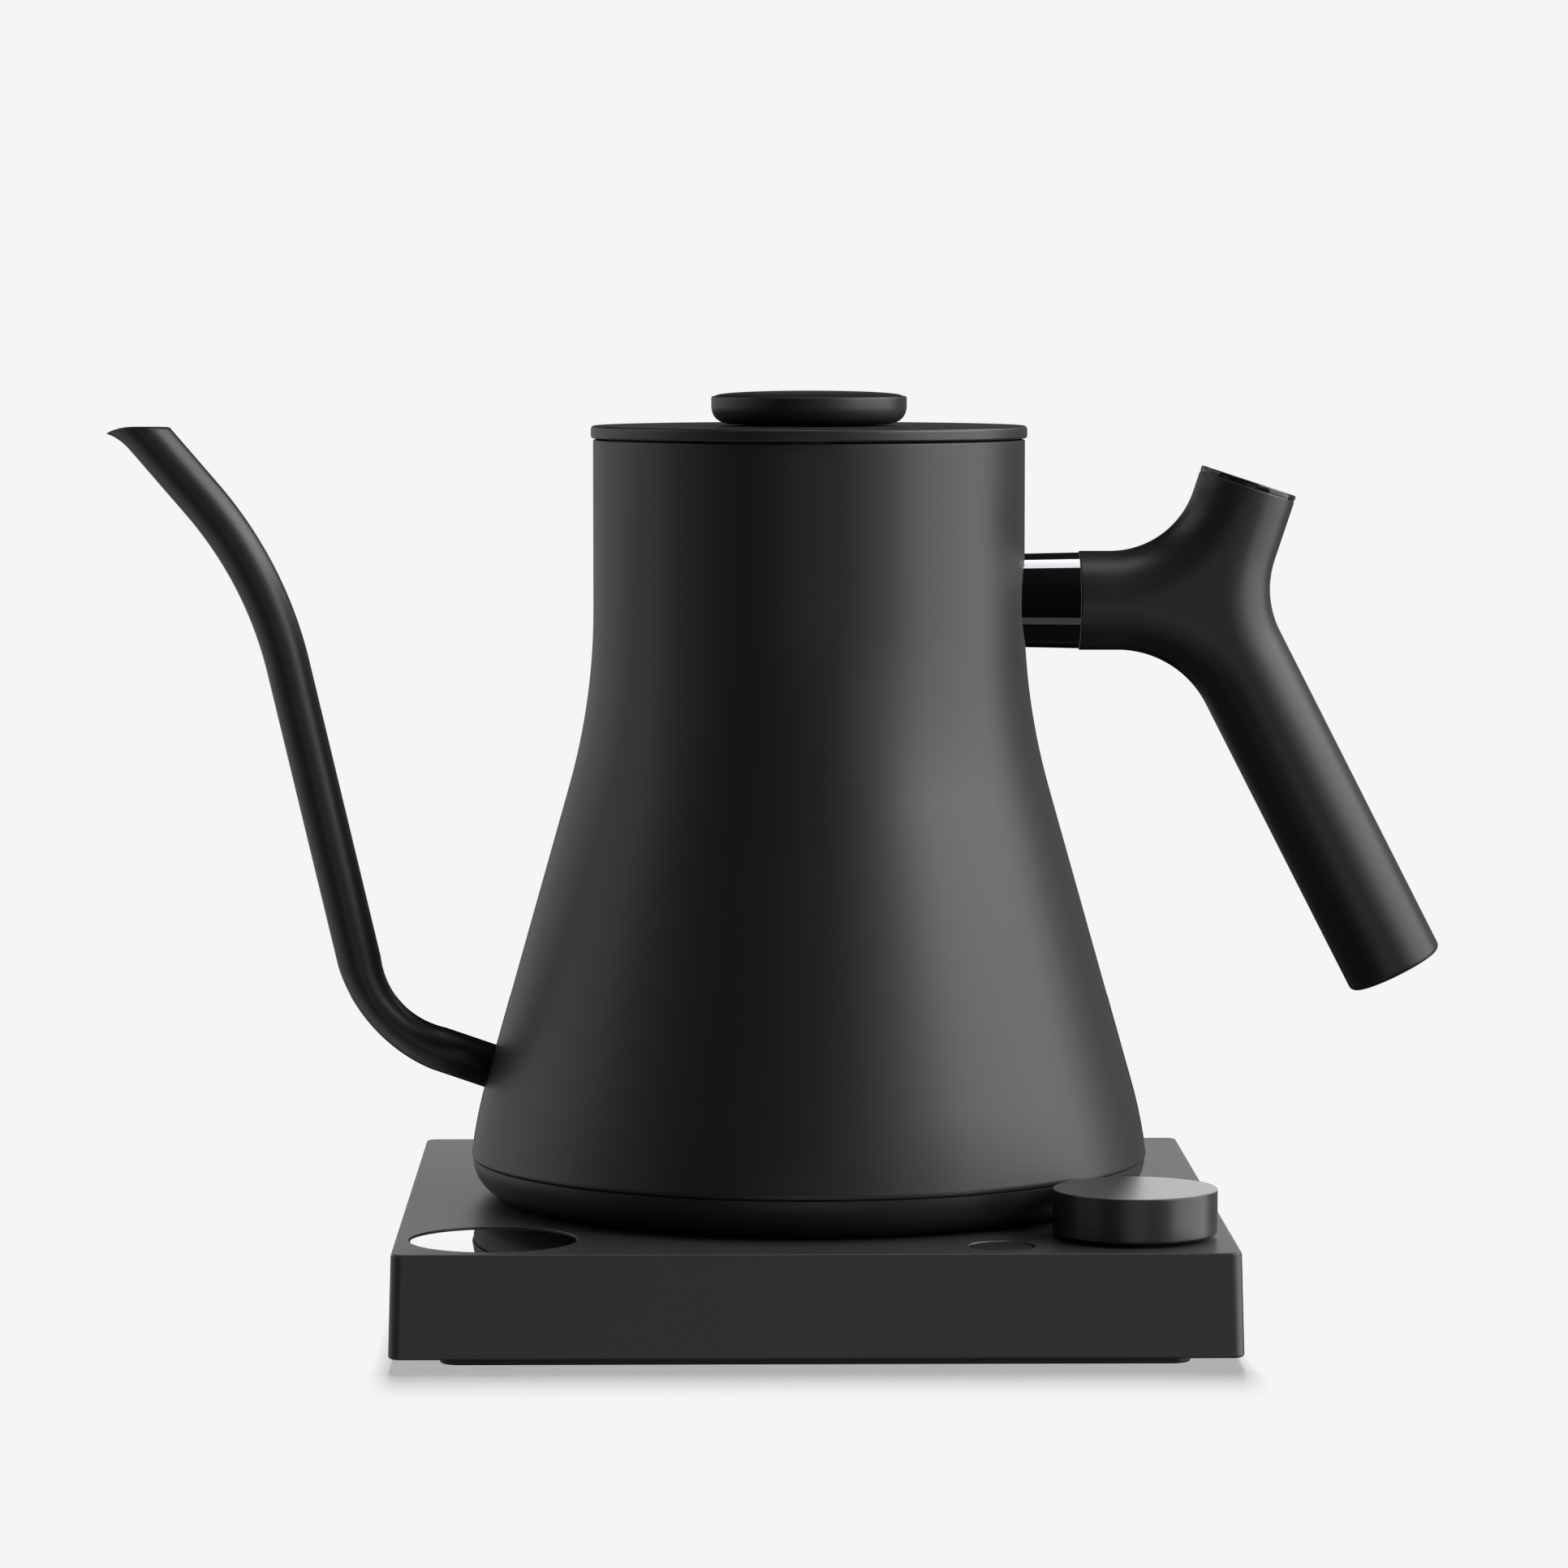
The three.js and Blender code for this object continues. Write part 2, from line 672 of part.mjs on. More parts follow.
const lid_z = rim_z + gap;
const pull_z = lid_z + lid_h + gap;
const skirt_top = lid_z - gap;

function lidDisc() {
  const top = lid_z + lid_h;
  return turned([
    [pull_screw_r + gap, lid_z], [lid_r - lid_edge, lid_z], [lid_r, lid_z + lid_edge],
    [lid_r, top - lid_edge], [lid_r - lid_edge * 0.3, top - lid_edge * 0.3], [lid_r - lid_edge, top],
    [pull_screw_r + gap, top],
  ], 48);
}

// A ring that fits the mouth, with two ribs that hold the seal and a ledge for the liner.
function lidSkirt() {
  const bottom = skirt_top - skirt_h;
  const rib = 1.4;
  const rib_r = skirt_r + rib;
  const seal = sealHeights();
  return turned([
    [skirt_r - skirt_wall - 2, bottom], [skirt_r, bottom],
    [skirt_r, seal[0] - 1.3 - gap], [rib_r, seal[0] - 1 - gap],
    [rib_r, seal[0] - gap], [skirt_r, seal[0] - gap],
    [skirt_r, seal[1] + gap], [rib_r, seal[1] + gap],
    [rib_r, seal[1] + 1 + gap], [skirt_r, seal[1] + 1.3 + gap],
    [skirt_r, skirt_top], [skirt_r - skirt_wall, skirt_top],
    [skirt_r - skirt_wall, bottom + 1], [skirt_r - skirt_wall - 2, bottom + 1],
  ]);
}

function sealHeights() {
  const middle = skirt_top - skirt_h * 0.55;
  return [middle - 1.2, middle + 1.2];
}

const lidSeal = () =>
  tube(skirt_r + gap, shellRadius(rim_z - skirt_h, shell_wall) - gap, ...sealHeights(), fine);

function lidLiner() {
  const z = skirt_top - skirt_h + 1 + gap;
  const r = skirt_r - skirt_wall - gap;
  const disc = rod(r, z, z + 0.9, fine);
  const vents = [90, 210, 330].map((degrees) =>
    placed(rod(2.2, z - eps, z + 2, 12), 0.7 * r * Math.cos(rad(degrees)), 0.7 * r * Math.sin(rad(degrees))),
  );
  return cut(disc, ...vents);
}

function lidPull() {
  const edge_z = pull_z + pull_h;
  const side = new THREE.Path();
  side.moveTo(pull_foot_r, pull_z);
  side.bezierCurveTo(pull_foot_r + 2.8, pull_z, pull_r, pull_z + 1.4, pull_r, pull_z + 4);
  const curve = side.getPoints(4).map((p) => [p.x, p.y]);
  const body = turned([
    [0, pull_z], ...curve, [pull_r, edge_z - 0.8], [pull_r - 0.25, edge_z - 0.25], [pull_r - 0.8, edge_z],
    [pull_r * 0.6, edge_z + pull_crown * 0.64], [pull_r * 0.3, edge_z + pull_crown * 0.91],
    [0, edge_z + pull_crown],
  ]);
  return cut(body, rod(pull_screw_r + gap, pull_z - eps, pull_z + 4.6, 12));
}

const lidPullScrew = () =>
  turned([
    [0, lid_z - gap - 2], [3.6, lid_z - gap - 2], [4, lid_z - gap - 1.4], [4, lid_z - gap],
    [pull_screw_r, lid_z - gap], [pull_screw_r, pull_z + 4], [0, pull_z + 4],
  ], 16);

// ---------------------------------------------------------------- base station, heights from its top face

// Near the front right corner, and clear of the kettle as it is lifted.
function dialPlace() {
  const corner = new THREE.Vector2(half_base - dial_side_inset, -half_base + dial_front_inset);
  const clear = shellRadius(shell_edge_z) + dial_clearance + dial_r;
  return corner.setLength(Math.max(corner.length(), clear)).toArray();
}

const display_place = [-half_base + display_side_inset, -half_base + display_front_inset];
const dial_place = dialPlace();
const button_place = [button_x, -half_base + button_front_inset];
const cord_z = -10.6;
const glass_top = -glass_recess;
const glass_bottom = glass_top - glass_h;
const cover_top = -housing_h + cover_plate_h + gap;
const gland_r = 5.5;
const base_post_r = 3.8; // the screw posts under the housing's top
const cord_r = 3.2;

// Leans the four sides out towards the bottom.
function drafted(made, foot_z) {
  return made.warp((v) => {
    const grow = 1 + ((base_draft / half_base) * v[2]) / foot_z;
    v[0] *= grow;
    v[1] *= grow;
  });
}

function baseScrewPlaces() {
  const [x, y] = [half_base - base_screw_side_inset, half_base - base_screw_front_inset];
  return [[1, 1], [-1, 1], [-1, -1], [1, -1]].map(([sx, sy]) => [sx * x, sy * y]);
}

function baseHousing() {
  const outside = drafted(
    plateWithRoundedEdge(base_side, housing_corner, -housing_h, 0, edge_round, true),
    -housing_h,
  );
  const hollow = plate(base_side - 2 * housing_wall, housing_corner - 1, -housing_h - eps, -housing_wall);
  const post = rod(base_post_r, cover_top + gap, -housing_wall + 0.5, 16);
  const posts = baseScrewPlaces().map(([x, y]) => placed(post, x, y));
  const pilots = baseScrewPlaces().map(([x, y]) => placed(rod(1.5, cover_top - eps, -9, 10), x, y));
  const window = placed(rod(display_r + gap, glass_bottom - gap, eps, fine), ...display_place);
  const viewHole = placed(rod(display_r - 2, -housing_wall - eps, eps, fine), ...display_place);
  const dialHole = placed(rod(shaft_r + 1, -housing_wall - eps, eps), ...dial_place);
  const buttonHole = placed(rod(button_r + running_gap, -housing_wall - eps, eps, 28), ...button_place);
  const bossHole = rod(boss_r + gap, -housing_wall - eps, eps, fine);
  const cordHole = rod(gland_r + gap, -10, 10, 16).rotate([90, 0, 0]).translate([0, half_base, cord_z]);
  return cut(
    join(cut(outside, hollow), ...posts),
    ...pilots, window, viewHole, dialHole, buttonHole, bossHole, cordHole,
  );
}

function baseBottomCover() {
  const inner_side = base_side - 2 * housing_wall - 2 * gap;
  const inner = plate(inner_side, housing_corner, cover_top - cover_plate_h, cover_top);
  const plinth = plate(plinth_side, plinth_corner, -housing_h + gap - plinth_h, cover_top - 0.5);
  const well = rod(3.4, -housing_h - plinth_h - eps, -housing_h + 0.9, 16);
  const wells = baseScrewPlaces().map(([x, y]) => placed(well, x, y));
  const hole = rod(1.6, -housing_h - eps, cover_top + eps, 10);
  const holes = baseScrewPlaces().map(([x, y]) => placed(hole, x, y));
  return cut(join(inner, plinth), ...wells, ...holes);
}

const baseScrew = () => screw(3, 1.6, 1.2, -housing_h - 1, -10);

const footPad = () =>
  plateWithRoundedEdge(plinth_side, plinth_corner, -base_top, -base_top + pad_h, 0.5, false);

const displayWindow = () => placed(rod(display_r, glass_bottom, glass_top, fine), ...display_place);

const panel_side = 22;
const panel_top = -housing_wall - 0.6;

const panel_h = 2.2;

const displayPanel = () =>
  placed(block(panel_side, panel_side, panel_top - panel_h, panel_top), ...display_place);

function displayCarrier() {
  const outer = block(panel_side + 6, panel_side + 6, panel_top - panel_h - 1, -housing_wall - gap);
  const pocket = block(panel_side + 2 * gap, panel_side + 2 * gap, panel_top - panel_h - gap, eps);
  return placed(cut(outer, pocket), ...display_place);
}

// The front circuit board carries the display, the encoder and the menu button's switch.
const board_h = 1.6;
const front_board_top = -7.9;
const frontBoard = () =>
  placed(block(base_side - 14, 36, front_board_top - board_h, front_board_top), 0, -half_base + 24);

const encoder_bottom = front_board_top + gap;
const encoder_top = -housing_wall - gap;
const rotor_r = 5;

function encoderBody() {
  const body = block(13.4, 13.4, encoder_bottom, encoder_top);
  const cavity = rod(rotor_r + running_gap, encoder_bottom + 0.8, eps, 24);
  return placed(cut(body, cavity), ...dial_place);
}

const encoderRotor = () =>
  placed(tube(shaft_r + running_gap, rotor_r, encoder_bottom + 1.6, encoder_top - 0.8, 24), ...dial_place);

const shaft_top = dial_float + dial_h - 2.4;
const shaft_foot = encoder_bottom + 0.8 + dial_press + gap;
const dialShaft = () => placed(rod(shaft_r, shaft_foot, shaft_top, 24), ...dial_place);

function dialKnob() {
  const [foot, top] = [dial_float, dial_float + dial_h];
  const round = 0.4;
  const skin = 2;
  const hub_r = shaft_r + running_gap + 2.2;
  return placed(
    turned([
      [shaft_r + running_gap, foot + 1], [hub_r, foot + 1], [hub_r, top - skin],
      [dial_r - skin, top - skin], [dial_r - skin, foot], [dial_r - round, foot], [dial_r, foot + round],
      [dial_r, top - round], [dial_r - round, top], [0, top], [0, shaft_top + gap],
      [shaft_r + running_gap, shaft_top + gap],
    ], 48),
    ...dial_place,
  );
}

const button_stem_h = 2.6;

function menuButton() {
  const top = -button_recess;
  const flange_top = -housing_wall - gap;
  return placed(
    turned([
      [0, flange_top - button_stem_h], [2, flange_top - button_stem_h], [2, flange_top - 1],
      [button_r + 0.9, flange_top - 1], [button_r + 0.9, flange_top], [button_r, flange_top],
      [button_r, top - 0.2], [button_r - 0.2, top], [0, top],
    ], 28),
    ...button_place,
  );
}

const tactSwitch = () =>
  placed(
    block(6, 6, front_board_top + gap, -housing_wall - gap - button_stem_h - button_press - gap),
    ...button_place,
  );

// The rear circuit board switches the mains.
const rear_board_top = cover_top + 4;
const rear_y = half_base - 31;
const rear_board_w = base_side - 62;
const rearBoard = () =>
  placed(block(rear_board_w, 46, rear_board_top - board_h, rear_board_top), 0, rear_y);
const part_foot = rear_board_top + gap;
const relay = () => placed(block(20, 16, part_foot, -4.4), -34, rear_y);
const transformer = () => placed(block(24, 20, part_foot, -4.8), 8, rear_y);
const capacitor = () => placed(rod(5.5, part_foot, -5, 16), 38, rear_y);

function baseConnector() {
  const flange_top = -housing_wall - gap;
  const groove = [contact_ring_r - 0.9, contact_ring_r + contact_ring_wall + 0.9];
  const hole_r = pin_r + 1.2;
  return turned([
    [hole_r, -11], [15, -11], [15, flange_top - 2.2], [connector_flange_r, flange_top - 2.2],
    [connector_flange_r, flange_top], [boss_r, flange_top], [boss_r, boss_h - 0.8], [boss_r - 0.8, boss_h],
    [groove[1], boss_h], [groove[1], 0.6], [groove[0], 0.6], [groove[0], boss_h], [hole_r, boss_h],
  ]);
}

const connectorSleeve = () => tube(pin_r + 0.4, pin_r + 1.2 - gap, -9, 4, 16);

// The cord's way out at the back: a bush held behind the wall by its collar.
function cordGland() {
  const bush = rod(gland_r, 0, 9, 16);
  const collar = rod(gland_r + 2, 0, 2.4, 16);
  const made = cut(join(bush, collar), rod(cord_r, -eps, 9 + eps, 16));
  const inside = half_base - housing_wall - gap - 2.4;
  return made.rotate([-90, 0, 0]).translate([0, inside, cord_z]);
}

// ---------------------------------------------------------------- assembly

function group(z, meshes) {
  const made = new THREE.Group();
  made.position.z = z;
  made.add(...meshes);
  return made;
}

const kettle = group(base_top, [
  meshOf("kettle_shell", kettleShell(), coated_steel),
  meshOf("spout_tube", spoutTube(), coated_steel),
  meshOf("vessel_floor", vesselFloor(), bare_steel),
  meshOf("heat_spreader", heatSpreader(), cast_aluminium),
  meshOf("heating_element", heatingElement(), bare_steel),
  meshOf("cutout_switch", cutoutSwitch(), component_plastic),
  meshOf("temperature_probe", temperatureProbe(), bare_steel),
  meshOf("probe_seal", probeSeal(), soft_rubber),
  meshOf("shell_gasket", shellGasket(), soft_rubber),
  meshOf("kettle_base_cover", kettleBaseCover(), black_plastic),
  ...kettleScrewPlaces().map(([x, y], i) =>
    meshOf(`kettle_screw_${i + 1}`, placed(kettleScrew(), x, y), bare_steel),
  ),
  meshOf("handle_connector", handleConnector(), black_chrome),
  meshOf("handle_grip", handleGrip(), black_plastic),
  meshOf("handle_cap", handleCap(), black_plastic),
  meshOf("handle_weight", handleWeight(), bare_steel),
  meshOf("handle_screw", handleScrew(), bare_steel),
]);

const coupling = group(base_top, [
  meshOf("kettle_coupler", kettleCoupler(), black_plastic),
  meshOf("coupler_pin", couplerPin(), brass),
  meshOf("coupler_ring", couplerRing(), brass),
]);

const lid = group(base_top, [
  meshOf("lid_disc", lidDisc(), coated_steel),
  meshOf("lid_skirt", lidSkirt(), black_plastic),
  meshOf("lid_seal", lidSeal(), soft_rubber),
  meshOf("lid_liner", lidLiner(), bare_steel),
  meshOf("lid_pull", lidPull(), black_plastic),
  meshOf("lid_pull_screw", lidPullScrew(), bare_steel),
]);

const base = group(base_top, [
  meshOf("base_housing", baseHousing(), black_plastic),
  meshOf("base_bottom_cover", baseBottomCover(), black_plastic),
  meshOf("foot_pad", footPad(), soft_rubber),
  ...baseScrewPlaces().map(([x, y], i) =>
    meshOf(`base_screw_${i + 1}`, placed(baseScrew(), x, y), bare_steel),
  ),
  meshOf("display_window", displayWindow(), dark_glass),
  meshOf("display_panel", displayPanel(), component_plastic),
  meshOf("display_carrier", displayCarrier(), black_plastic),
  meshOf("front_board", frontBoard(), circuit_board),
  meshOf("encoder_body", encoderBody(), component_plastic),
  meshOf("encoder_rotor", encoderRotor(), black_plastic),
  meshOf("dial_shaft", dialShaft(), cast_aluminium),
  meshOf("dial_knob", dialKnob(), dial_metal),
  meshOf("menu_button", menuButton(), black_plastic),
  meshOf("tact_switch", tactSwitch(), component_plastic),
  meshOf("rear_board", rearBoard(), circuit_board),
  meshOf("relay", relay(), component_plastic),
  meshOf("transformer", transformer(), component_plastic),
  meshOf("capacitor", capacitor(), component_plastic),
  meshOf("base_connector", baseConnector(), black_plastic),
  meshOf("connector_sleeve", connectorSleeve(), brass),
  meshOf("cord_gland", cordGland(), soft_rubber),
]);

const electricKettle = new THREE.Group();
electricKettle.add(base, coupling, kettle, lid);

export default electricKettle;
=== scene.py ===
# The looks of a gooseneck kettle on its cordless base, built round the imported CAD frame.
# Shapes are worked out in millimetres, in the CAD's frame, and become metres when a mesh is made.

import json
import math

import bmesh
import bpy
from mathutils import Matrix, Vector


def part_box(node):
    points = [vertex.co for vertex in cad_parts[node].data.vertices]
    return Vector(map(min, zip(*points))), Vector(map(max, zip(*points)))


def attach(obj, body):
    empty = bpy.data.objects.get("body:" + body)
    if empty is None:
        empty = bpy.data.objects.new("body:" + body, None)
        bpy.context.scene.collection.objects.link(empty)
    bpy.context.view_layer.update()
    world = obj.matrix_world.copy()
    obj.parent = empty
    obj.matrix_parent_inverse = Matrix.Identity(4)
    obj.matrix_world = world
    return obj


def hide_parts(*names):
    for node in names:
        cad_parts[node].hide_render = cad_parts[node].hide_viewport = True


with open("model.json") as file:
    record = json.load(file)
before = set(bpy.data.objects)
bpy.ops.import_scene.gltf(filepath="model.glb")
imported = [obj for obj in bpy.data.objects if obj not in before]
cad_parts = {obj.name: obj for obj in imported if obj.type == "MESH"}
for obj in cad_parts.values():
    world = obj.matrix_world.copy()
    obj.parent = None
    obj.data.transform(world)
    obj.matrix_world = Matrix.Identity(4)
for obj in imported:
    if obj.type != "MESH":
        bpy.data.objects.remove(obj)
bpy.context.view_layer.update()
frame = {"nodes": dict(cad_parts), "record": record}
scene = bpy.context.scene

MM = 0.001
JOIN = 1e-4  # vertices closer together than this are one
FINE_ROUND = 256  # facets round the largest pieces
LID_ROUND = 192
ROUND = 160
SMALL_ROUND = 64


def node_box(node):
    """Lowest and highest corner of a CAD node, in millimetres."""
    low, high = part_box(node)
    return low / MM, high / MM


def node_middle(node):
    """The middle of a CAD node's box."""
    low, high = node_box(node)
    return (low + high) / 2


def upright(node):
    """Foot, top and radius of an upright round node."""
    low, high = node_box(node)
    return low.z, high.z, (high.y - low.y) / 2


def node_radius(node):
    return upright(node)[2]


def node_radius_across(node):
    """Radius of a round node whose axis runs along Y."""
    low, high = node_box(node)
    return (high.x - low.x) / 2


TOP = node_box("base_housing")[1].z  # height of the base's top face


# ---- materials

MATERIALS = {}
SLOT_OF_NODE = {s["node"]: s["material_slot"] for s in frame["record"]["subparts"]}


class Nodes:
    """A short way to build one material's nodes."""

    def __init__(self, name):
        self.material = bpy.data.materials.new(name)
        self.material.use_nodes = True
        self.tree = self.material.node_tree
        self.shader = self.tree.nodes["Principled BSDF"]
        self.place = self.add("ShaderNodeTexCoord").outputs["Object"]

    def add(self, kind, **settings):
        node = self.tree.nodes.new(kind)
        for key, value in settings.items():
            setattr(node, key, value)
        return node

    def link(self, output, target):
        self.tree.links.new(output, target)

    def scaled_place(self, scale):
        """Object coordinates stretched by a number per axis."""
        mapping = self.add("ShaderNodeMapping")
        mapping.inputs["Scale"].default_value = scale
        self.link(self.place, mapping.inputs["Vector"])
        return mapping.outputs["Vector"]

    def noise(self, size_mm, detail=2.0, vector=None):
        """Noise whose features are about size_mm across."""
        node = self.add("ShaderNodeTexNoise")
        node.inputs["Scale"].default_value = 1 / (size_mm * MM)
        node.inputs["Detail"].default_value = detail
        self.link(vector or self.place, node.inputs["Vector"])
        return node.outputs["Fac"]

    def spread(self, value, low, high):
        """Value, which lies round a half, spread over a range."""
        node = self.add("ShaderNodeMapRange")
        node.inputs["From Min"].default_value = 0.3
        node.inputs["From Max"].default_value = 0.7
        node.inputs["To Min"].default_value = low
        node.inputs["To Max"].default_value = high
        self.link(value, node.inputs["Value"])
        return node.outputs["Result"]

    def tones(self, value, dark, light):
        """Colour that goes from dark to light with value."""
        node = self.add("ShaderNodeMix", data_type="RGBA")
        node.inputs["A"].default_value = (*dark, 1)
        node.inputs["B"].default_value = (*light, 1)
        self.link(value, node.inputs["Factor"])
        return node.outputs["Result"]

    def bump(self, height, depth_mm, normal=None):
        node = self.add("ShaderNodeBump")
        node.inputs["Distance"].default_value = depth_mm * MM
        node.inputs["Strength"].default_value = 1.0
        self.link(height, node.inputs["Height"])
        if normal:
            self.link(normal, node.inputs["Normal"])
        return node.outputs["Normal"]

    def set(self, **values):
        for key, value in values.items():
            self.shader.inputs[key.replace("_", " ")].default_value = value


def shade(color, amount):
    """A colour made darker or lighter by a factor."""
    return tuple(channel * amount for channel in color)


def surface(
    slot, color, roughness, grain_mm, grain_depth_mm, cloud_mm=30, cloud=0.06, rough_spread=0.05, **values
):
    """A moulded, coated or machined surface: cloudy tone, uneven gloss and a fine grain."""
    nodes = Nodes(slot)
    clouds = nodes.noise(cloud_mm, detail=3)
    grain = nodes.noise(grain_mm, detail=3)
    tone = nodes.spread(clouds, 0, 1)
    nodes.link(
        nodes.tones(tone, shade(color, 1 - cloud), shade(color, 1 + cloud)),
        nodes.shader.inputs["Base Color"],
    )
    rough = nodes.spread(grain, roughness - rough_spread, roughness + rough_spread)
    nodes.link(rough, nodes.shader.inputs["Roughness"])
    nodes.link(nodes.bump(grain, grain_depth_mm), nodes.shader.inputs["Normal"])
    nodes.set(**values)
    MATERIALS[slot] = nodes.material
    return nodes


def brushed(slot, color, roughness, **values):
    """Metal with fine scratches that run round the upright axis."""
    nodes = Nodes(slot)
    lines = nodes.noise(1.2, detail=4, vector=nodes.scaled_place((0.4, 0.4, 9)))
    clouds = nodes.noise(22, detail=2)
    nodes.link(
        nodes.tones(nodes.spread(clouds, 0, 1), shade(color, 0.93), shade(color, 1.05)),
        nodes.shader.inputs["Base Color"],
    )
    nodes.link(nodes.spread(lines, roughness - 0.06, roughness + 0.08), nodes.shader.inputs["Roughness"])
    nodes.link(nodes.bump(lines, 0.012), nodes.shader.inputs["Normal"])
    nodes.set(Metallic=1.0, **values)
    MATERIALS[slot] = nodes.material
    return nodes


def make_materials():
    surface("body_coat", (0.0135, 0.0135, 0.0137), 0.40, 0.3, 0.002, rough_spread=0.03, IOR=1.5)
    surface("handle_plastic", (0.016, 0.016, 0.0162), 0.38, 0.16, 0.004, IOR=1.46)
    surface("gloss_cap", (0.012, 0.012, 0.0125), 0.12, 0.5, 0.001, rough_spread=0.02, IOR=1.5)
    surface("base_plastic", (0.03, 0.03, 0.0302), 0.42, 0.3, 0.003, IOR=1.5)
    surface("black_plastic", (0.014, 0.014, 0.0143), 0.42, 0.2, 0.006, IOR=1.46)
    surface("dial_metal", (0.045, 0.045, 0.0455), 0.32, 0.2, 0.001, rough_spread=0.03, Metallic=0.5)
    surface("silicone", (0.016, 0.016, 0.016), 0.62, 0.3, 0.012, IOR=1.43)
    surface("cast_aluminium", (0.55, 0.56, 0.57), 0.42, 0.5, 0.03, Metallic=1.0)
    surface("brass_contact", (0.72, 0.53, 0.24), 0.2, 0.4, 0.002, Metallic=1.0)
    surface("circuit_board", (0.02, 0.11, 0.05), 0.38, 0.8, 0.01, cloud_mm=6, cloud=0.25)
    surface("component_plastic", (0.03, 0.033, 0.04), 0.5, 0.25, 0.01)
    surface("dark_glass", (0.003, 0.003, 0.0033), 0.025, 3.0, 0.0, rough_spread=0.008, IOR=1.9)
    surface("black_chrome", (0.045, 0.045, 0.047), 0.035, 1.0, 0.0, rough_spread=0.01, Metallic=0.9)
    brushed("bare_steel", (0.6, 0.6, 0.61), 0.26)


make_materials()


# ---- outlines and meshes


def rounded(corners, closed=False, steps=6):
    """Flat points from corners; a corner with a third value, a radius, becomes an arc."""
    points = []
    count = len(corners)
    for i, corner in enumerate(corners):
        here = Vector(corner[:2])
        radius = corner[2] if len(corner) > 2 else 0
        if radius == 0:
            points.append(here)
            continue
        back = (Vector(corners[i - 1][:2]) - here).normalized()
        ahead = (Vector(corners[(i + 1) % count][:2]) - here).normalized()
        half = back.angle(ahead) / 2
        centre = here + (back + ahead).normalized() * (radius / math.sin(half))
        start = here + back * (radius / math.tan(half)) - centre
        end = here + ahead * (radius / math.tan(half)) - centre
        points += [centre + turn_between(start, end, k / steps) for k in range(steps + 1)]
    if closed:
        points.append(points[0].copy())
    return points


def turn_between(start, end, share):
    """The vector part of the way round from start to end, at the same length."""
    angle = start.angle(end)
    return (start * math.sin((1 - share) * angle) + end * math.sin(share * angle)) / math.sin(angle)


def skin(bm, rings, cap_first=False, cap_last=False):
    """Faces between neighbouring rings of vertices. A ring that is one vertex closes to a point."""
    count = max(len(ring) for ring in rings)
    rings = [ring if len(ring) == count else ring * count for ring in rings]
    for lower, upper in zip(rings, rings[1:]):
        for i in range(count):
            j = (i + 1) % count
            around = []
            for vert in (lower[i], lower[j], upper[j], upper[i]):
                if vert not in around:
                    around.append(vert)
            if len(around) > 2:
                bm.faces.new(around)
    if cap_first:
        bm.faces.new(rings[0])
    if cap_last:
        bm.faces.new(rings[-1])


def ring_verts(bm, points):
    return [bm.verts.new(point) for point in points]


def piece(node, bm, body, sharp=35):
    """Makes the mesh an object that rides on a body and stands for one CAD node."""
    bmesh.ops.remove_doubles(bm, verts=bm.verts, dist=JOIN)
    bmesh.ops.recalc_face_normals(bm, faces=bm.faces)
    bmesh.ops.scale(bm, vec=Vector((MM, MM, MM)), verts=bm.verts)
    name = f"{node}_form"
    mesh = bpy.data.meshes.new(name)
    bm.to_mesh(mesh)
    bm.free()
    mesh.shade_smooth()
    mesh.set_sharp_from_angle(angle=math.radians(sharp))
    made = bpy.data.objects.new(name, mesh)
    scene.collection.objects.link(made)
    slot = SLOT_OF_NODE[node]
    mesh.materials.append(MATERIALS[slot])
    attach(made, body)
    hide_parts(node)
    return made


def evened(obj):
    """Normals weighted by face area, so that flat faces stay flat beside their rounded edges."""
    modifier = obj.modifiers.new("normals", "WEIGHTED_NORMAL")
    modifier.keep_sharp = True
    return obj


def full_turn(count):
    """Equally spaced angles round a full turn."""
    return [2 * math.pi * k / count for k in range(count)]


def round_edge(radius, steps):
    """Pairs round a quarter circle: how far in it has bent, and how far short of its end it is."""
    angles = [math.pi / 2 * k / steps for k in range(steps + 1)]
    return [(radius * (1 - math.cos(a)), radius * (1 - math.sin(a))) for a in angles]


def circle(place, radius, z, sides=96):
    """Points round an upright axis."""
    turn = full_turn(sides)
    return [(place[0] + radius * math.cos(a), place[1] + radius * math.sin(a), z) for a in turn]


def turned_mesh(profile, place=(0, 0), sides=ROUND):
    """A solid of revolution about an upright axis, from flat (radius, height) points."""
    bm = bmesh.new()
    rings = []
    for r, z in profile:
        points = [(place[0], place[1], z)] if r < JOIN else circle(place, r, z, sides)
        rings.append(ring_verts(bm, points))
    skin(bm, rings)
    return bm


def turned(node, profile, body, place=(0, 0), sides=ROUND, sharp=35):
    return piece(node, turned_mesh(profile, place, sides), body, sharp=sharp)


# ---- kettle body

SHELL_WALL = 1.0
FLARE = math.radians(15.8)  # lean of the body's straight side
EDGE_ANGLE = math.radians(7)  # lean of its side at the foot
NECK_ARC = 142  # radius of the curve between neck and flare
HIP_ARC = 106  # radius of the curve between flare and foot
RIM_ROUND = 0.3
NECK_UP = 108.1  # where the neck's line meets the flare's line, above the base's top

EDGE_Z, RIM_Z, _ = upright("kettle_shell")
RIM_R = node_radius("lid_disc") - 0.5  # the lid stands out past the rim


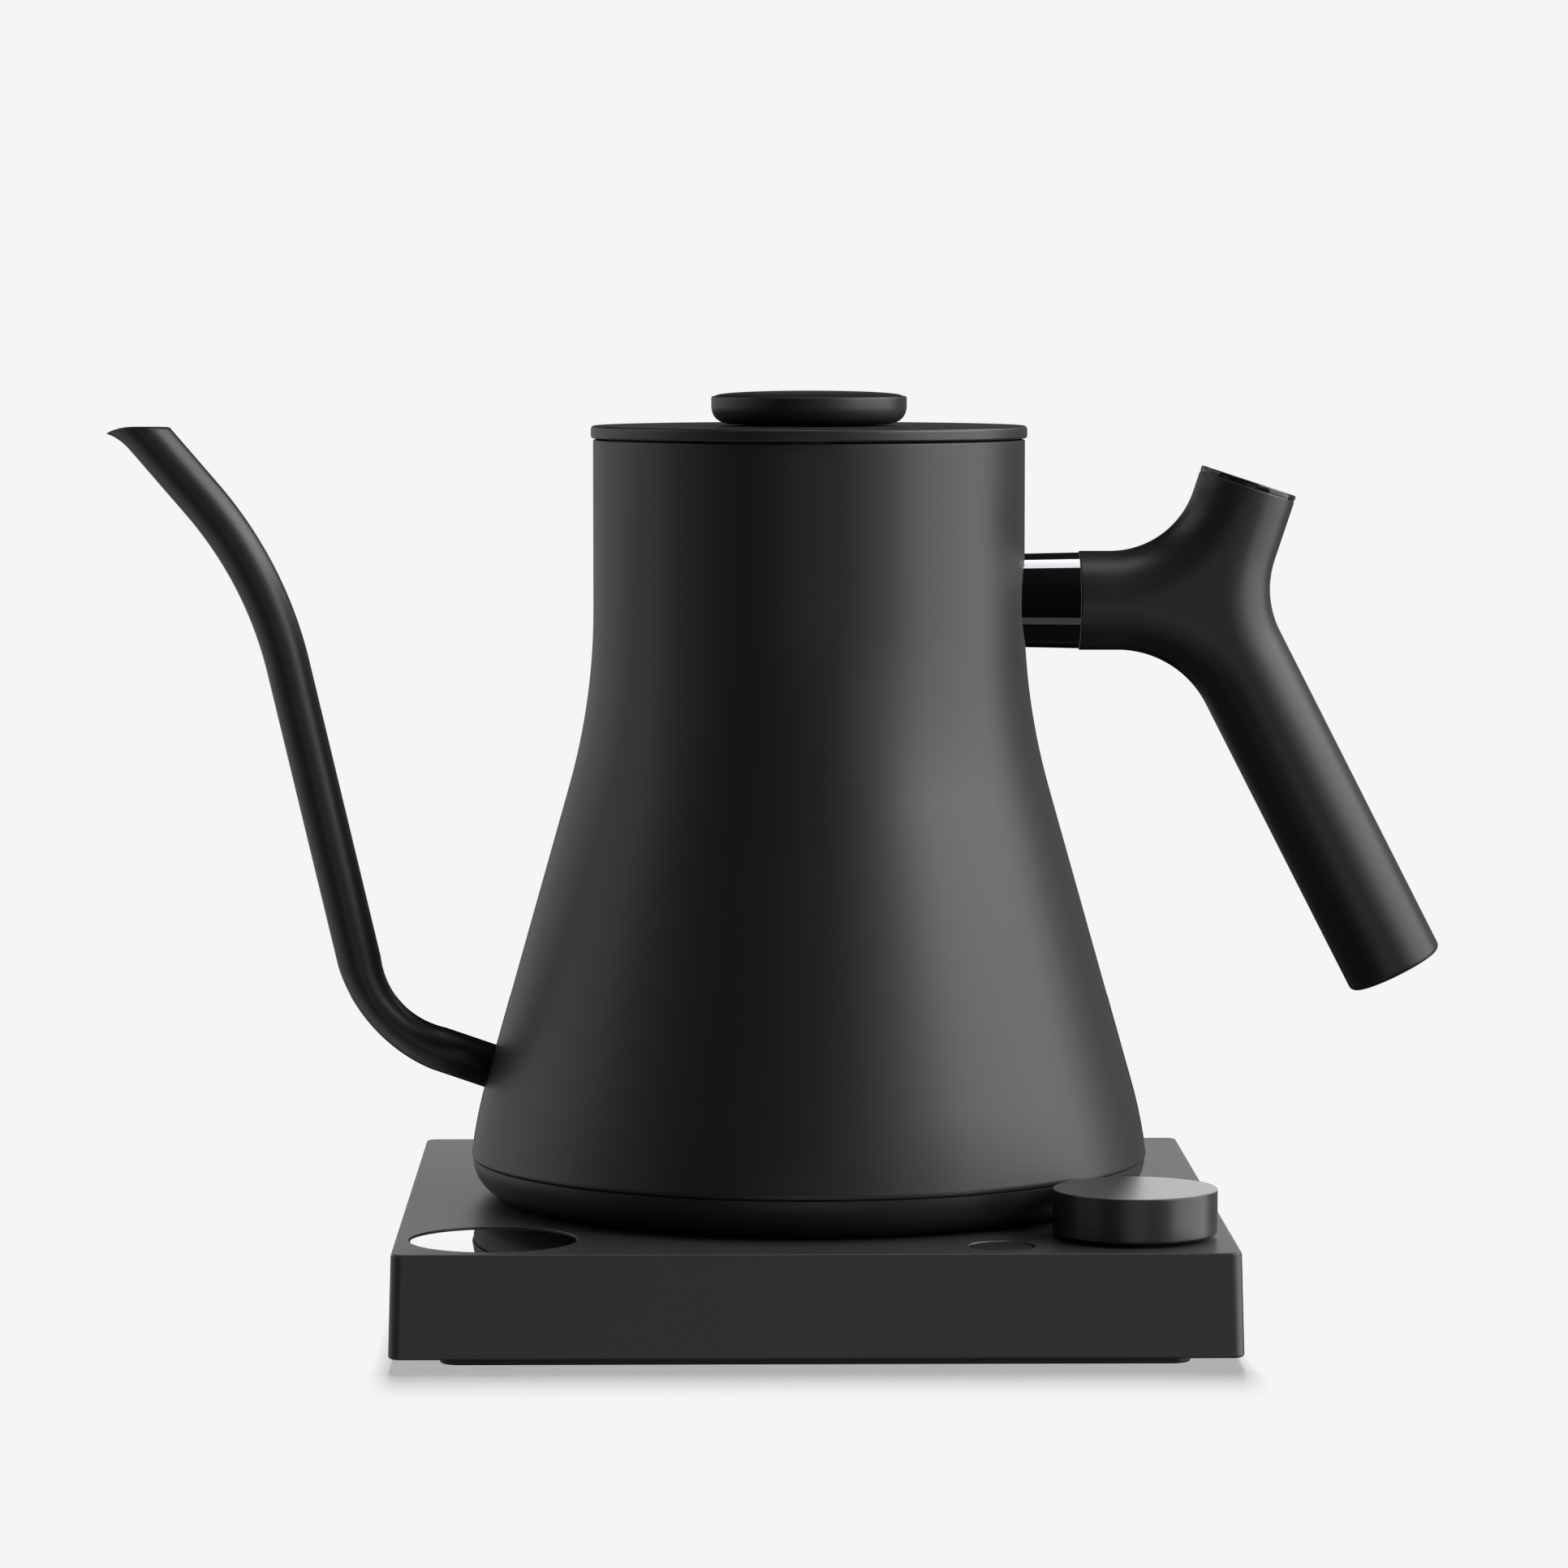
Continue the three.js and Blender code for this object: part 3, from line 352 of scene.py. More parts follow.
def body_outline(inset=0.0, steps=14):
    """Radius and height from the shell's foot to its rim, moved inwards by inset."""
    hip_top = EDGE_Z + HIP_ARC * (math.sin(FLARE) - math.sin(EDGE_ANGLE))
    neck_top = TOP + NECK_UP + NECK_ARC * math.tan(FLARE / 2)
    hip_r = RIM_R + math.tan(FLARE) * (TOP + NECK_UP - hip_top)
    hip_x = hip_r - HIP_ARC * math.cos(FLARE)
    hip_z = hip_top - HIP_ARC * math.sin(FLARE)
    points = []
    for k in range(steps + 1):
        angle = EDGE_ANGLE + (FLARE - EDGE_ANGLE) * k / steps
        reach = HIP_ARC - inset
        points.append(Vector((hip_x + reach * math.cos(angle), hip_z + reach * math.sin(angle))))
    for k in range(steps + 1):
        angle = FLARE * (1 - k / steps)
        reach = NECK_ARC + inset
        points.append(
            Vector((RIM_R + NECK_ARC - reach * math.cos(angle), neck_top - reach * math.sin(angle)))
        )
    points.append(Vector((RIM_R - inset, RIM_Z)))
    return points


def shell_radius(z):
    """Outer radius of the shell at a height."""
    points = body_outline()
    for (r0, z0), (r1, z1) in zip(points, points[1:]):
        if z0 <= z <= z1:
            return r0 + (r1 - r0) * (z - z0) / (z1 - z0)
    return points[0][0] if z < points[0][1] else points[-1][0]


def make_shell():
    outer = body_outline()
    inner = body_outline(SHELL_WALL)
    foot = outer[0]
    rim = outer[-1]
    hem = [foot + Vector((-0.45, 0)), foot + Vector((-0.13, 0.08)), foot + Vector((0, 0.4))]
    bore = rim.x - SHELL_WALL
    below = rim.y - 2
    edge = rounded([(rim.x, below), (rim.x, rim.y, RIM_ROUND), (bore, rim.y, RIM_ROUND), (bore, below)])
    profile = hem + outer[1:-1] + edge + inner[-2::-1] + [Vector((inner[0].x, foot.y)), hem[0]]
    turned("kettle_shell", profile, "kettle", sides=FINE_ROUND, sharp=50)


COVER_INSET = 0.25  # the bowl's shoulder lies this far inside the shell's foot
COVER_GAP = 0.35  # and this far below it
COVER_RUN = 6.0  # from the shoulder in to the bowl's flat foot
COVER_BEND = Vector((-0.2, 2.6))  # the curve's control point, from under the shoulder
COVER_TUCK = 0.25  # rise of the shoulder's inner edge
COVER_WALL = 2.0
COVER_STEPS = 12
COUPLER_LAP = 3.8  # the coupling's flange lies over the edge of the bowl's hole
HOLE_EDGE = 0.4


def make_base_cover():
    """The shallow bowl below the shell, with a round hole for the coupling."""
    cover_low = node_box("kettle_base_cover")[0].z
    shoulder = Vector((shell_radius(EDGE_Z) - COVER_INSET, EDGE_Z - COVER_GAP))
    foot = Vector((shoulder.x - COVER_RUN, cover_low))
    near = Vector((shoulder.x, foot.y)) + COVER_BEND
    bowl = []
    for k in range(COVER_STEPS + 1):
        t = k / COVER_STEPS
        bowl.append(foot * (1 - t) ** 2 + near * (2 * t * (1 - t)) + shoulder * t * t)
    hole_r = node_radius("kettle_coupler") - COUPLER_LAP
    inner_r = shoulder.x - COVER_WALL
    hole_low = Vector((hole_r, foot.y + HOLE_EDGE))
    profile = (
        [hole_low, Vector((hole_r + HOLE_EDGE, foot.y))]
        + bowl
        + [shoulder + Vector((-0.3, COVER_TUCK)), Vector((inner_r, shoulder.y + COVER_TUCK))]
        + [Vector((inner_r, foot.y + 3)), Vector((hole_r, foot.y + 2.2)), hole_low]
    )
    turned("kettle_base_cover", profile, "kettle", sides=FINE_ROUND)


make_shell()
make_base_cover()


# ---- spout

SPOUT_R = node_radius("spout_tube")
SPOUT_BORE = SPOUT_R - 0.9
ROOT_UP = 28.0  # the centreline meets the shell this far above the base's top
ROOT_BITE = 0.15  # the tube starts this far below the shell's surface
ROOT_SEARCH = 40.0  # and that surface lies within this run of the low bend
HALVINGS = 30
ROOT_ANGLE = math.radians(19)
LOW_BEND_X = -94.4
LOW_ARC = 26.5
LOW_STEPS = 28
RISER_ANGLE = math.radians(13.2)
TIP_BEND_UP = 135.3
TIP_ARC = 86
TIP_STEPS = 36
TIP_ANGLE = math.radians(40.6)
TIP_Z = node_box("spout_tube")[1].z
TIP_ROWS = (0.25, 0.45, 0.6, 0.7, 0.78, 0.85, 0.91, 0.96, 1.0)  # closer together towards the rim
TIP_SWELL = 0.12  # the tube grows by this towards its tip
BEND_PINCH = 0.68  # the tube is this much thinner each way, at most, across its low bend
BEND_SHIFT = 0.08  # and its middle moves this far outwards there
RIM_CROWN = 0.14  # the rim's rounded top stands above its edges
LIP_REACH = 0.9
LIP_DROP = 1.3
LIP_RUN = 6.5  # the lip is drawn out over this run below the rim
LIP_EASE = 2.2
LIP_NARROW = 5  # a larger power makes the lip narrower
SPOUT_SIDES = 48


def spout_corners():
    """The centreline's corners in the XZ plane."""
    root = Vector((-shell_radius(TOP + ROOT_UP), TOP + ROOT_UP))
    low = Vector((LOW_BEND_X, root.y + (root.x - LOW_BEND_X) * math.tan(ROOT_ANGLE)))
    high_x = low.x - (TOP + TIP_BEND_UP - low.y) * math.tan(RISER_ANGLE)
    high = Vector((high_x, TOP + TIP_BEND_UP))
    tip = Vector((high.x - (TIP_Z - high.y) * math.tan(TIP_ANGLE), TIP_Z))
    return root, low, high, tip


def bend(corner, back, ahead, radius, steps):
    """Centre points and directions round one bend of the centreline."""
    u, v = (back - corner).normalized(), (ahead - corner).normalized()
    half = u.angle(v) / 2
    reach = radius / math.tan(half)
    centre = corner + (u + v).normalized() * (radius / math.sin(half))
    start, end = corner + u * reach - centre, corner + v * reach - centre
    stations = []
    for k in range(steps + 1):
        t = k / steps
        stations.append((centre + turn_between(start, end, t), turn_between(-u, v, t)))
    return stations


def lip(angle, run):
    """How far the rim is drawn out, as a share, at an angle round the tube and a run below the rim."""
    front = max(0.0, math.cos(angle)) ** LIP_NARROW
    return front * max(0.0, 1 - run / LIP_RUN) ** LIP_EASE


def spout_point(radius, station, along, angle, pinch=0.0, swell=0.0):
    """A point on the tube, at an angle that is 0 on the side away from the body."""
    centre, direction = station
    across = Vector((-direction.y, direction.x))
    if across.x > 0:
        across = -across
    grown = radius + TIP_SWELL * swell
    reach = (grown - BEND_PINCH * pinch) * math.cos(angle) + BEND_SHIFT * pinch - TIP_SWELL * swell
    flat = centre + direction * along + across * reach
    return Vector((flat.x, grown * math.sin(angle), flat.y))


def spout_rings(bm, radius, sunk):
    """Rings of the tube at one radius, from sunk below the shell's surface up to the rim."""
    root, low, high, tip = spout_corners()
    low_bend = bend(low, root, high, LOW_ARC, LOW_STEPS)
    high_bend = bend(high, low, tip, TIP_ARC, TIP_STEPS)
    angles = full_turn(SPOUT_SIDES)
    root_ring = []
    for angle in angles:
        near, far = -ROOT_SEARCH, 0.0
        for _ in range(HALVINGS):
            middle = (near + far) / 2
            point = spout_point(radius, low_bend[0], middle, angle)
            inside = math.hypot(point.x, point.y) < shell_radius(point.z) - sunk
            near, far = (middle, far) if inside else (near, middle)
        root_ring.append(spout_point(radius, low_bend[0], far, angle))
    rings = [root_ring]
    for k, station in enumerate(low_bend):
        pinch = math.sin(math.pi * k / LOW_STEPS)
        rings.append([spout_point(radius, station, 0, angle, pinch=pinch) for angle in angles])
    for k, station in enumerate(high_bend):
        rings.append([spout_point(radius, station, 0, angle, swell=k / TIP_STEPS) for angle in angles])
    last = high_bend[-1]
    climb = last[1].y
    starts = [spout_point(radius, last, 0, angle, swell=1) for angle in angles]
    runs = [(TIP_Z - RIM_CROWN - start.z) / climb for start in starts]
    for share in TIP_ROWS:
        ring = []
        for angle, run in zip(angles, runs):
            point = spout_point(radius, last, run * share, angle, swell=1)
            drawn = lip(angle, run * (1 - share))
            point.x -= LIP_REACH * drawn
            point.z -= LIP_DROP * drawn
            ring.append(point)
        rings.append(ring)
    return [ring_verts(bm, ring) for ring in rings]


def make_spout():
    bm = bmesh.new()
    outer = spout_rings(bm, SPOUT_R, ROOT_BITE)
    inner = spout_rings(bm, SPOUT_BORE, SHELL_WALL)
    crown = [(a.co + b.co) * 0.5 + Vector((0, 0, RIM_CROWN)) for a, b in zip(outer[-1], inner[-1])]
    skin(bm, outer + [ring_verts(bm, crown)] + inner[::-1] + outer[:1])
    piece("spout_tube", bm, "kettle", sharp=60)


make_spout()


# ---- handle

HANDLE_R = node_radius("handle_grip")
HUB = Vector((86.8, TOP + 129.4))  # where the limbs' axes meet, in the XZ plane
STUB_ANGLE = math.radians(18.3)  # the stub's lean from upright
GRIP_ANGLE = math.radians(27.1)  # the grip's lean
ARM = Vector((-1, 0))
STUB = Vector((math.sin(STUB_ANGLE), math.cos(STUB_ANGLE)))
GRIP = Vector((math.sin(GRIP_ANGLE), -math.cos(GRIP_ANGLE)))
ARM_END = HUB.x - node_box("handle_grip")[0].x  # each limb's length from the hub
STUB_END = 27.3
GRIP_END = 90.6
ARM_ROUND = 0.3
STUB_ROUND = 0.25
GRIP_ROUND = 1.4
LIMB_SIDES = 64
LIMB_STEPS = 26
END_STEPS = 8
CAP_H = 1.1
CAP_TRIM = 0.02  # the cap is this much smaller in radius than the stub
CORE_TRIM = 0.15  # and so is the core that fills the seam below it
CORE_H = 3
SEAM = 0.25
COLLAR_BORE = 9.0
COLLAR_ROOT = 10.15  # radius where the collar meets the shell
COLLAR_END = 10.4  # and where it meets the grip
COLLAR_GAP = 0.12
COLLAR_BITE = 0.2  # the collar's root lies this far below the shell's surface
COLLAR_SIDES = 128


class Crotch:
    """The rounded inside corner between two limbs of the handle."""

    def __init__(self, first, second, radius):
        self.limbs = (first, second)
        self.radius = radius
        self.middle = (first + second).normalized()
        self.half = first.angle(second) / 2
        self.centre = HUB + self.middle * ((HANDLE_R + radius) / math.sin(self.half))
        self.depth = self.centre - self.middle * radius
        # Along a limb, from the hub to where its straight edge starts.
        self.run = (HANDLE_R + radius) / math.tan(self.half)

    def across(self, limb):
        """The direction square to a limb that faces this corner."""
        side = Vector((-limb.y, limb.x))
        return side if side.dot(self.middle) > 0 else -side

    def inside(self, point):
        """How far a point lies inside this edge of the outline."""
        reach = point - self.centre
        if reach.angle(-self.middle) <= math.pi / 2 - self.half:
            return reach.length - self.radius
        limb = max(self.limbs, key=reach.dot)
        return HANDLE_R - self.across(limb).dot(point - HUB)

    def edge(self, limb, share, full_run):
        """A point on the edge, from the middle of the corner at 0 to full_run along the limb at 1."""
        across = self.across(limb)
        start = self.depth - self.centre
        end = -across * self.radius
        arc = self.radius * start.angle(end)
        total = arc + full_run - self.run
        if share * total < arc:
            return self.centre + turn_between(start, end, share * total / arc)
        return HUB + limb * (self.run + share * total - arc) + across * HANDLE_R


CROTCHES = [Crotch(ARM, STUB, 19), Crotch(STUB, GRIP, 20), Crotch(GRIP, ARM, 21.7)]
CROTCHES_OF = {tuple(limb): [c for c in CROTCHES if limb in c.limbs] for limb in (ARM, STUB, GRIP)}


def grip_section(middle, first, second):
    """A closed section of the handle, bent at its middle, between two points on its outline."""
    points = []
    for angle in full_turn(LIMB_SIDES):
        share = math.cos(angle)
        edge = first if share > 0 else second
        flat = middle + (edge - middle) * abs(share)
        on_outline = abs(share) > 1 - 1e-9
        inside = 0.0 if on_outline else min(HANDLE_R, *(crotch.inside(flat) for crotch in CROTCHES))
        depth = math.sqrt(HANDLE_R**2 - (HANDLE_R - max(0.0, inside)) ** 2)
        points.append(Vector((flat.x, math.copysign(depth, math.sin(angle)) if depth else 0.0, flat.y)))
    return points


def round_section(limb, along, radius):
    """A round section square to a limb."""
    across = CROTCHES_OF[tuple(limb)][0].across(limb)
    points = []
    for angle in full_turn(LIMB_SIDES):
        flat = HUB + limb * along + across * (radius * math.cos(angle))
        points.append(Vector((flat.x, radius * math.sin(angle), flat.y)))
    return points


def limb_rings(bm, limb, end, edge_round):
    """One limb of the handle, from the middle of the Y to its rounded end."""
    first, second = CROTCHES_OF[tuple(limb)]
    full_run = max(first.run, second.run) + 0.5
    rings = []
    for k in range(LIMB_STEPS + 1):
        share = k / LIMB_STEPS
        edges = [crotch.edge(limb, share, full_run) for crotch in (first, second)]
        rings.append(grip_section(HUB + limb * full_run * share, *edges))
    for inset, short in round_edge(edge_round, END_STEPS):
        rings.append(round_section(limb, end - short, HANDLE_R - inset))
    rings.append(round_section(limb, end, HANDLE_R / 2))
    tip = HUB + limb * end
    return [ring_verts(bm, ring) for ring in rings + [[(tip.x, 0, tip.y)]]]


def make_grip():
    bm = bmesh.new()
    skin(bm, limb_rings(bm, ARM, ARM_END, ARM_ROUND))
    skin(bm, limb_rings(bm, STUB, STUB_END - CAP_H - SEAM, STUB_ROUND))
    skin(bm, limb_rings(bm, GRIP, GRIP_END, GRIP_ROUND))
    piece("handle_grip", bm, "kettle", sharp=60)


def along_limb(bm, limb):
    """Turns an upright mesh at the origin so that it lies along a limb from the hub."""
    angle = math.atan2(limb.x, limb.y)
    bmesh.ops.rotate(bm, verts=bm.verts, cent=(0, 0, 0), matrix=Matrix.Rotation(angle, 3, "Y"))
    bmesh.ops.translate(bm, verts=bm.verts, vec=(HUB.x, 0, HUB.y))
    return bm


def make_cap():
    """The glossy cap: a thin disc on a core that closes the seam and enters the stub."""
    foot = STUB_END - CAP_H
    cap_r = HANDLE_R - CAP_TRIM
    core_r = HANDLE_R - CORE_TRIM
    disc = rounded([(0, foot), (cap_r, foot, 0.15), (cap_r, STUB_END, 0.35), (0, STUB_END)])
    core = [Vector((0, foot - CORE_H)), Vector((core_r, foot - CORE_H)), Vector((core_r, foot + 0.02))]
    bm = along_limb(turned_mesh(core + disc[1:], sides=96), STUB)
    evened(piece("handle_cap", bm, "kettle"))


def make_connector():
    """The polished collar, a shallow cone whose root follows the shell."""
    bm = bmesh.new()
    end_x = HUB.x - ARM_END - COLLAR_GAP
    rings = []
    for radius, at_root in (
        (COLLAR_BORE, True),
        (COLLAR_ROOT, True),
        (COLLAR_END, False),
        (COLLAR_BORE, False),
    ):
        ring = []
        for angle in full_turn(COLLAR_SIDES):
            y, z = radius * math.sin(angle), radius * math.cos(angle)
            x = math.sqrt((RIM_R - COLLAR_BITE) ** 2 - y * y) if at_root else end_x
            ring.append((x, y, HUB.y + z))
        rings.append(ring_verts(bm, ring))
    skin(bm, rings + rings[:1])
    piece("handle_connector", bm, "kettle")


make_grip()
make_cap()
make_connector()


# ---- lid

LID_LOW, LID_TOP, LID_R = upright("lid_disc")
PULL_LOW, PULL_TOP, PULL_R = upright("lid_pull")
PULL_CROWN = 1.2  # height of the dome above the pull's edge
PULL_STEPS = 14
DOME_STEPS = 10
SEAL_GAP = 0.3  # between the seal and the rib above or below it
RIB_EDGE = 1.3  # from the seal to a rib's far edge
RIB_ROOT = 1.6  # and to its root
RIB_REACH = 1.4
SKIRT_WALL = 1.4


def make_lid():
    profile = rounded(
        [(0, LID_LOW), (LID_R - 0.9, LID_LOW), (LID_R, LID_LOW, 0.55), (LID_R, LID_TOP, 0.8), (0, LID_TOP)]
    )
    evened(turned("lid_disc", profile, "lid", sides=FINE_ROUND))


def make_pull():
    """The lid's knob: a curved underside, a straight side, a round edge and a shallow dome."""
    edge = PULL_TOP - PULL_CROWN
    side_low = PULL_LOW + 4
    a, b = Vector((16.6, PULL_LOW)), Vector((19.4, PULL_LOW))
    c, d = Vector((PULL_R, PULL_LOW + 1.4)), Vector((PULL_R, side_low))
    under = []
    for k in range(PULL_STEPS):
        t = k / PULL_STEPS
        under.append(a * (1 - t) ** 3 + b * 3 * t * (1 - t) ** 2 + c * 3 * t * t * (1 - t) + d * t**3)
    dome_r = PULL_R * 0.96
    dome = []
    for k in range(1, DOME_STEPS):
        angle = math.pi / 2 * k / DOME_STEPS
        dome.append(Vector((dome_r * math.cos(angle), edge + PULL_CROWN * math.sin(angle) ** 0.8)))
    shoulder = rounded([(PULL_R, side_low), (PULL_R, edge, 0.45), (dome_r, edge + 0.12)])
    profile = [Vector((0, PULL_LOW))] + under + shoulder + dome + [Vector((0, PULL_TOP))]
    turned("lid_pull", profile, "lid", sides=LID_ROUND)


def make_lid_skirt():
    """The skirt below the lid, with two ribs that hold the seal between them."""
    low, high, rib_r = upright("lid_skirt")
    seal_low, seal_high, _ = upright("lid_seal")
    outer_r = rib_r - RIB_REACH
    bore = outer_r - SKIRT_WALL
    foot_bore = bore - 2
    foot_top = low + 1
    corners = [
        (foot_bore, low, 0.3), (outer_r, low, 0.6),
        (outer_r, seal_low - RIB_ROOT), (rib_r, seal_low - RIB_EDGE, 0.2),
        (rib_r, seal_low - SEAL_GAP, 0.1), (outer_r, seal_low - SEAL_GAP),
        (outer_r, seal_high + SEAL_GAP), (rib_r, seal_high + SEAL_GAP, 0.1),
        (rib_r, seal_high + RIB_EDGE, 0.2), (outer_r, seal_high + RIB_ROOT),
        (outer_r, high), (bore, high), (bore, foot_top), (foot_bore, foot_top),
    ]
    profile = rounded(corners, closed=True, steps=3)
    turned("lid_skirt", profile, "lid", sides=LID_ROUND)


def make_lid_seal():
    """The ring with two lips that press on the neck."""
    low, high, lip_r = upright("lid_seal")
    groove_r = lip_r - 0.7
    bore = node_radius("lid_skirt") - RIB_REACH + 0.2
    corners = [
        (bore, low), (groove_r, low, 0.2), (lip_r, low + 0.5, 0.3),
        (groove_r, (low + high) / 2, 0.2),
        (lip_r, high - 0.5, 0.3), (groove_r, high, 0.2), (bore, high),
    ]
    profile = rounded(corners, closed=True, steps=3)
    turned("lid_seal", profile, "lid", sides=LID_ROUND)


def make_lid_liner():
    """The steel liner below the lid, dished round its middle."""
    low, high, radius = upright("lid_liner")
    dish = low + 0.5
    corners = [
        (0, dish), (radius * 0.55, dish, 3), (radius * 0.6, low, 3),
        (radius, low, 0.3), (radius, high, 0.3), (0, high),
    ]
    profile = rounded(corners, steps=4)
    turned("lid_liner", profile, "lid", sides=LID_ROUND)


make_lid()
make_pull()
make_lid_skirt()
make_lid_seal()
make_lid_liner()


# ---- base station

HOUSING_CORNER = 2.4
HOUSING_EDGE = 0.45  # the round of the top edge
HOUSING_FOOT = 0.6  # the round of the bottom edge
HOUSING_LEAN = 0.6  # the walls lean in by this much
HOUSING_WALL = 2.2
INNER_CORNER = 1.6
CORNER_STEPS = 10
EDGE_STEPS = 6
GLASS_TRIM = 0.25  # the glass is this much smaller in radius than its seat
GLASS_LEDGE = 2
SHAFT_HOLE = 4
BUTTON_RIM = 0.9  # the button's flange, below the housing, stands out this far
BUTTON_GAP = 0.35
BOSS_R = 17.2
BOSS_GAP = 0.3
HOLE_BREAK = 0.25  # a hole's sharp edge is broken by this much
GLAND_FLANGE = 2  # the gland's flange stands out this far from its bush
GLAND_GAP = 0.3


def rounded_square(half, corner, z):
    """Points round a square with round corners."""
    points = []
    inner = half - corner
    for k, (sx, sy) in enumerate(((1, 1), (-1, 1), (-1, -1), (1, -1))):
        for s in range(CORNER_STEPS + 1):
            angle = math.pi / 2 * (k + s / CORNER_STEPS)
            points.append((sx * inner + corner * math.cos(angle), sy * inner + corner * math.sin(angle), z))
    return points


def fill_between(bm, outer, holes):
    """A flat face with holes, between rings of vertices."""
    edges = []
    for ring in [outer] + holes:
        for pair in zip(ring, ring[1:] + ring[:1]):
            edges.append(bm.edges.get(pair) or bm.edges.new(pair))
    bmesh.ops.triangle_fill(bm, use_beauty=True, use_dissolve=False, edges=edges)


def hole_in_back(bm, low_ring, high_ring, radius, height):
    """Opens a round hole in the flat back wall between two rings, and gives its rim."""
    left, right = CORNER_STEPS, CORNER_STEPS + 1
    corners = [low_ring[left], low_ring[right], high_ring[right], high_ring[left]]
    wall = next(face for face in corners[0].link_faces if all(corner in face.verts for corner in corners))
    bm.faces.remove(wall)
    foot, top = corners[0].co, corners[3].co
    rim = []
    for x, z, _ in circle((0, height), radius, 0, sides=48):
        share = (z - foot.z) / (top.z - foot.z)
        rim.append((x, foot.y + (top.y - foot.y) * share, z))
    made = ring_verts(bm, rim)
    fill_between(bm, corners, [made])
    return made


def housing_outline(low, high):
    """Rings round the housing, from its foot up the leaning walls and over the top edge."""
    half = high.x
    top_half = half - HOUSING_LEAN
    rings = []
    for in_share, up_share in ((1, 0), (0.3, 1 / 3), (0, 1)):
        inset = HOUSING_FOOT * in_share
        rings.append(rounded_square(half - inset, HOUSING_CORNER - inset, low.z + HOUSING_FOOT * up_share))
    rings.append(rounded_square(top_half + 0.02, HOUSING_CORNER, high.z - HOUSING_EDGE))
    for inset, short in round_edge(HOUSING_EDGE, EDGE_STEPS)[1:]:
        rings.append(rounded_square(top_half - inset, HOUSING_CORNER - inset, high.z - short))
    return rings


def top_holes(top, ceiling):
    """The place and the (radius, height) steps of each opening in the housing's top."""
    glass_r = node_radius("display_window") - GLASS_TRIM
    seat_r = glass_r + 0.08
    ledge_r = glass_r - GLASS_LEDGE
    ledge = node_box("display_window")[0].z - 0.2
    seat = [(glass_r + 0.2, top), (seat_r, top - 0.12), (seat_r, ledge), (ledge_r, ledge)]
    holes = [(node_middle("display_window"), seat + [(ledge_r, ceiling)])]
    for place, radius in (
        (node_middle("dial_knob"), SHAFT_HOLE),
        (node_middle("menu_button"), node_radius("menu_button") - BUTTON_RIM + BUTTON_GAP),
        ((0, 0), BOSS_R + BOSS_GAP),
    ):
        holes.append((place, [(radius + HOLE_BREAK, top), (radius, top - HOLE_BREAK), (radius, ceiling)]))
    return holes


def make_housing():
    """The square housing, open below, with its holes for window, controls, coupling and cord."""
    low, high = node_box("base_housing")
    bm = bmesh.new()
    outer = [ring_verts(bm, ring) for ring in housing_outline(low, high)]
    skin(bm, outer)
    inner_half = high.x - HOUSING_LEAN - HOUSING_WALL
    ceiling = high.z - HOUSING_WALL
    inner = [ring_verts(bm, rounded_square(inner_half, INNER_CORNER, z)) for z in (low.z, ceiling)]
    skin(bm, inner)
    skin(bm, [outer[0], inner[0]])
    cord_r = node_radius_across("cord_gland") - GLAND_FLANGE + GLAND_GAP
    cord_z = node_middle("cord_gland").z
    outside = hole_in_back(bm, outer[2], outer[3], cord_r, cord_z)
    skin(bm, [outside, hole_in_back(bm, inner[0], inner[1], cord_r, cord_z)])
    tops, bottoms = [], []
    for place, steps in top_holes(high.z, ceiling):
        made = [ring_verts(bm, circle(place, r, z)) for r, z in steps]
        skin(bm, made)
        tops.append(made[0])
        bottoms.append(made[-1])
    fill_between(bm, outer[-1], tops)
    fill_between(bm, inner[-1], bottoms)
    evened(piece("base_housing", bm, "base", sharp=40))


def loft_plate(node, half, corner, side):
    """A square plate of the base with round corners, from (inset, height) pairs up its side."""
    bm = bmesh.new()
    rings = [ring_verts(bm, rounded_square(half - inset, corner - inset, z)) for inset, z in side]
    skin(bm, rings, cap_first=True, cap_last=True)
    evened(piece(node, bm, "base", sharp=50))


def make_foot():
    """The dark cover below the housing and the rubber pad below that."""
    foot = node_box("base_housing")[0].z
    cover = node_box("base_bottom_cover")[1]
    loft_plate("base_bottom_cover", cover.x, 3, [(0.5, foot + 0.3), (0, foot + 0.8), (0, cover.z)])
    edge = [(inset, up) for up, inset in round_edge(0.4, 4)]
    loft_plate("foot_pad", node_box("foot_pad")[1].x, 4, [(1.2, 0.0)] + edge + [(0.0, foot + 0.31)])


def make_window():
    low, high, seat_r = upright("display_window")
    radius = seat_r - GLASS_TRIM
    profile = rounded([(0, low), (radius, low, 0.2), (radius, high, 0.25), (0, high)], steps=4)
    place = node_middle("display_window")
    evened(turned("display_window", profile, "base", place=place, sides=128))


def make_dial():
    """The dial, a plain cylinder that is hollow below."""
    low, high, radius = upright("dial_knob")
    wall = 2
    corners = [
        (0, high - wall), (radius - wall, high - wall), (radius - wall, low),
        (radius, low, 0.5), (radius, high, 0.3), (0, high),
    ]
    profile = rounded(corners, steps=5)
    evened(turned("dial_knob", profile, "dial", place=node_middle("dial_knob"), sides=LID_ROUND))


def make_button():
    """The button: a stem, a flange that stays below the housing and the round face."""
    low, high, flange_r = upright("menu_button")
    face_r = flange_r - BUTTON_RIM
    stem_r = 2
    flange = low + 1.6
    corners = [
        (0, low), (stem_r, low), (stem_r, flange), (flange_r, flange),
        (flange_r, flange + 1), (face_r, flange + 1), (face_r, high, 0.35), (0, high),
    ]
    profile = rounded(corners, steps=4)
    evened(turned("menu_button", profile, "menu_button", place=node_middle("menu_button"), sides=96))


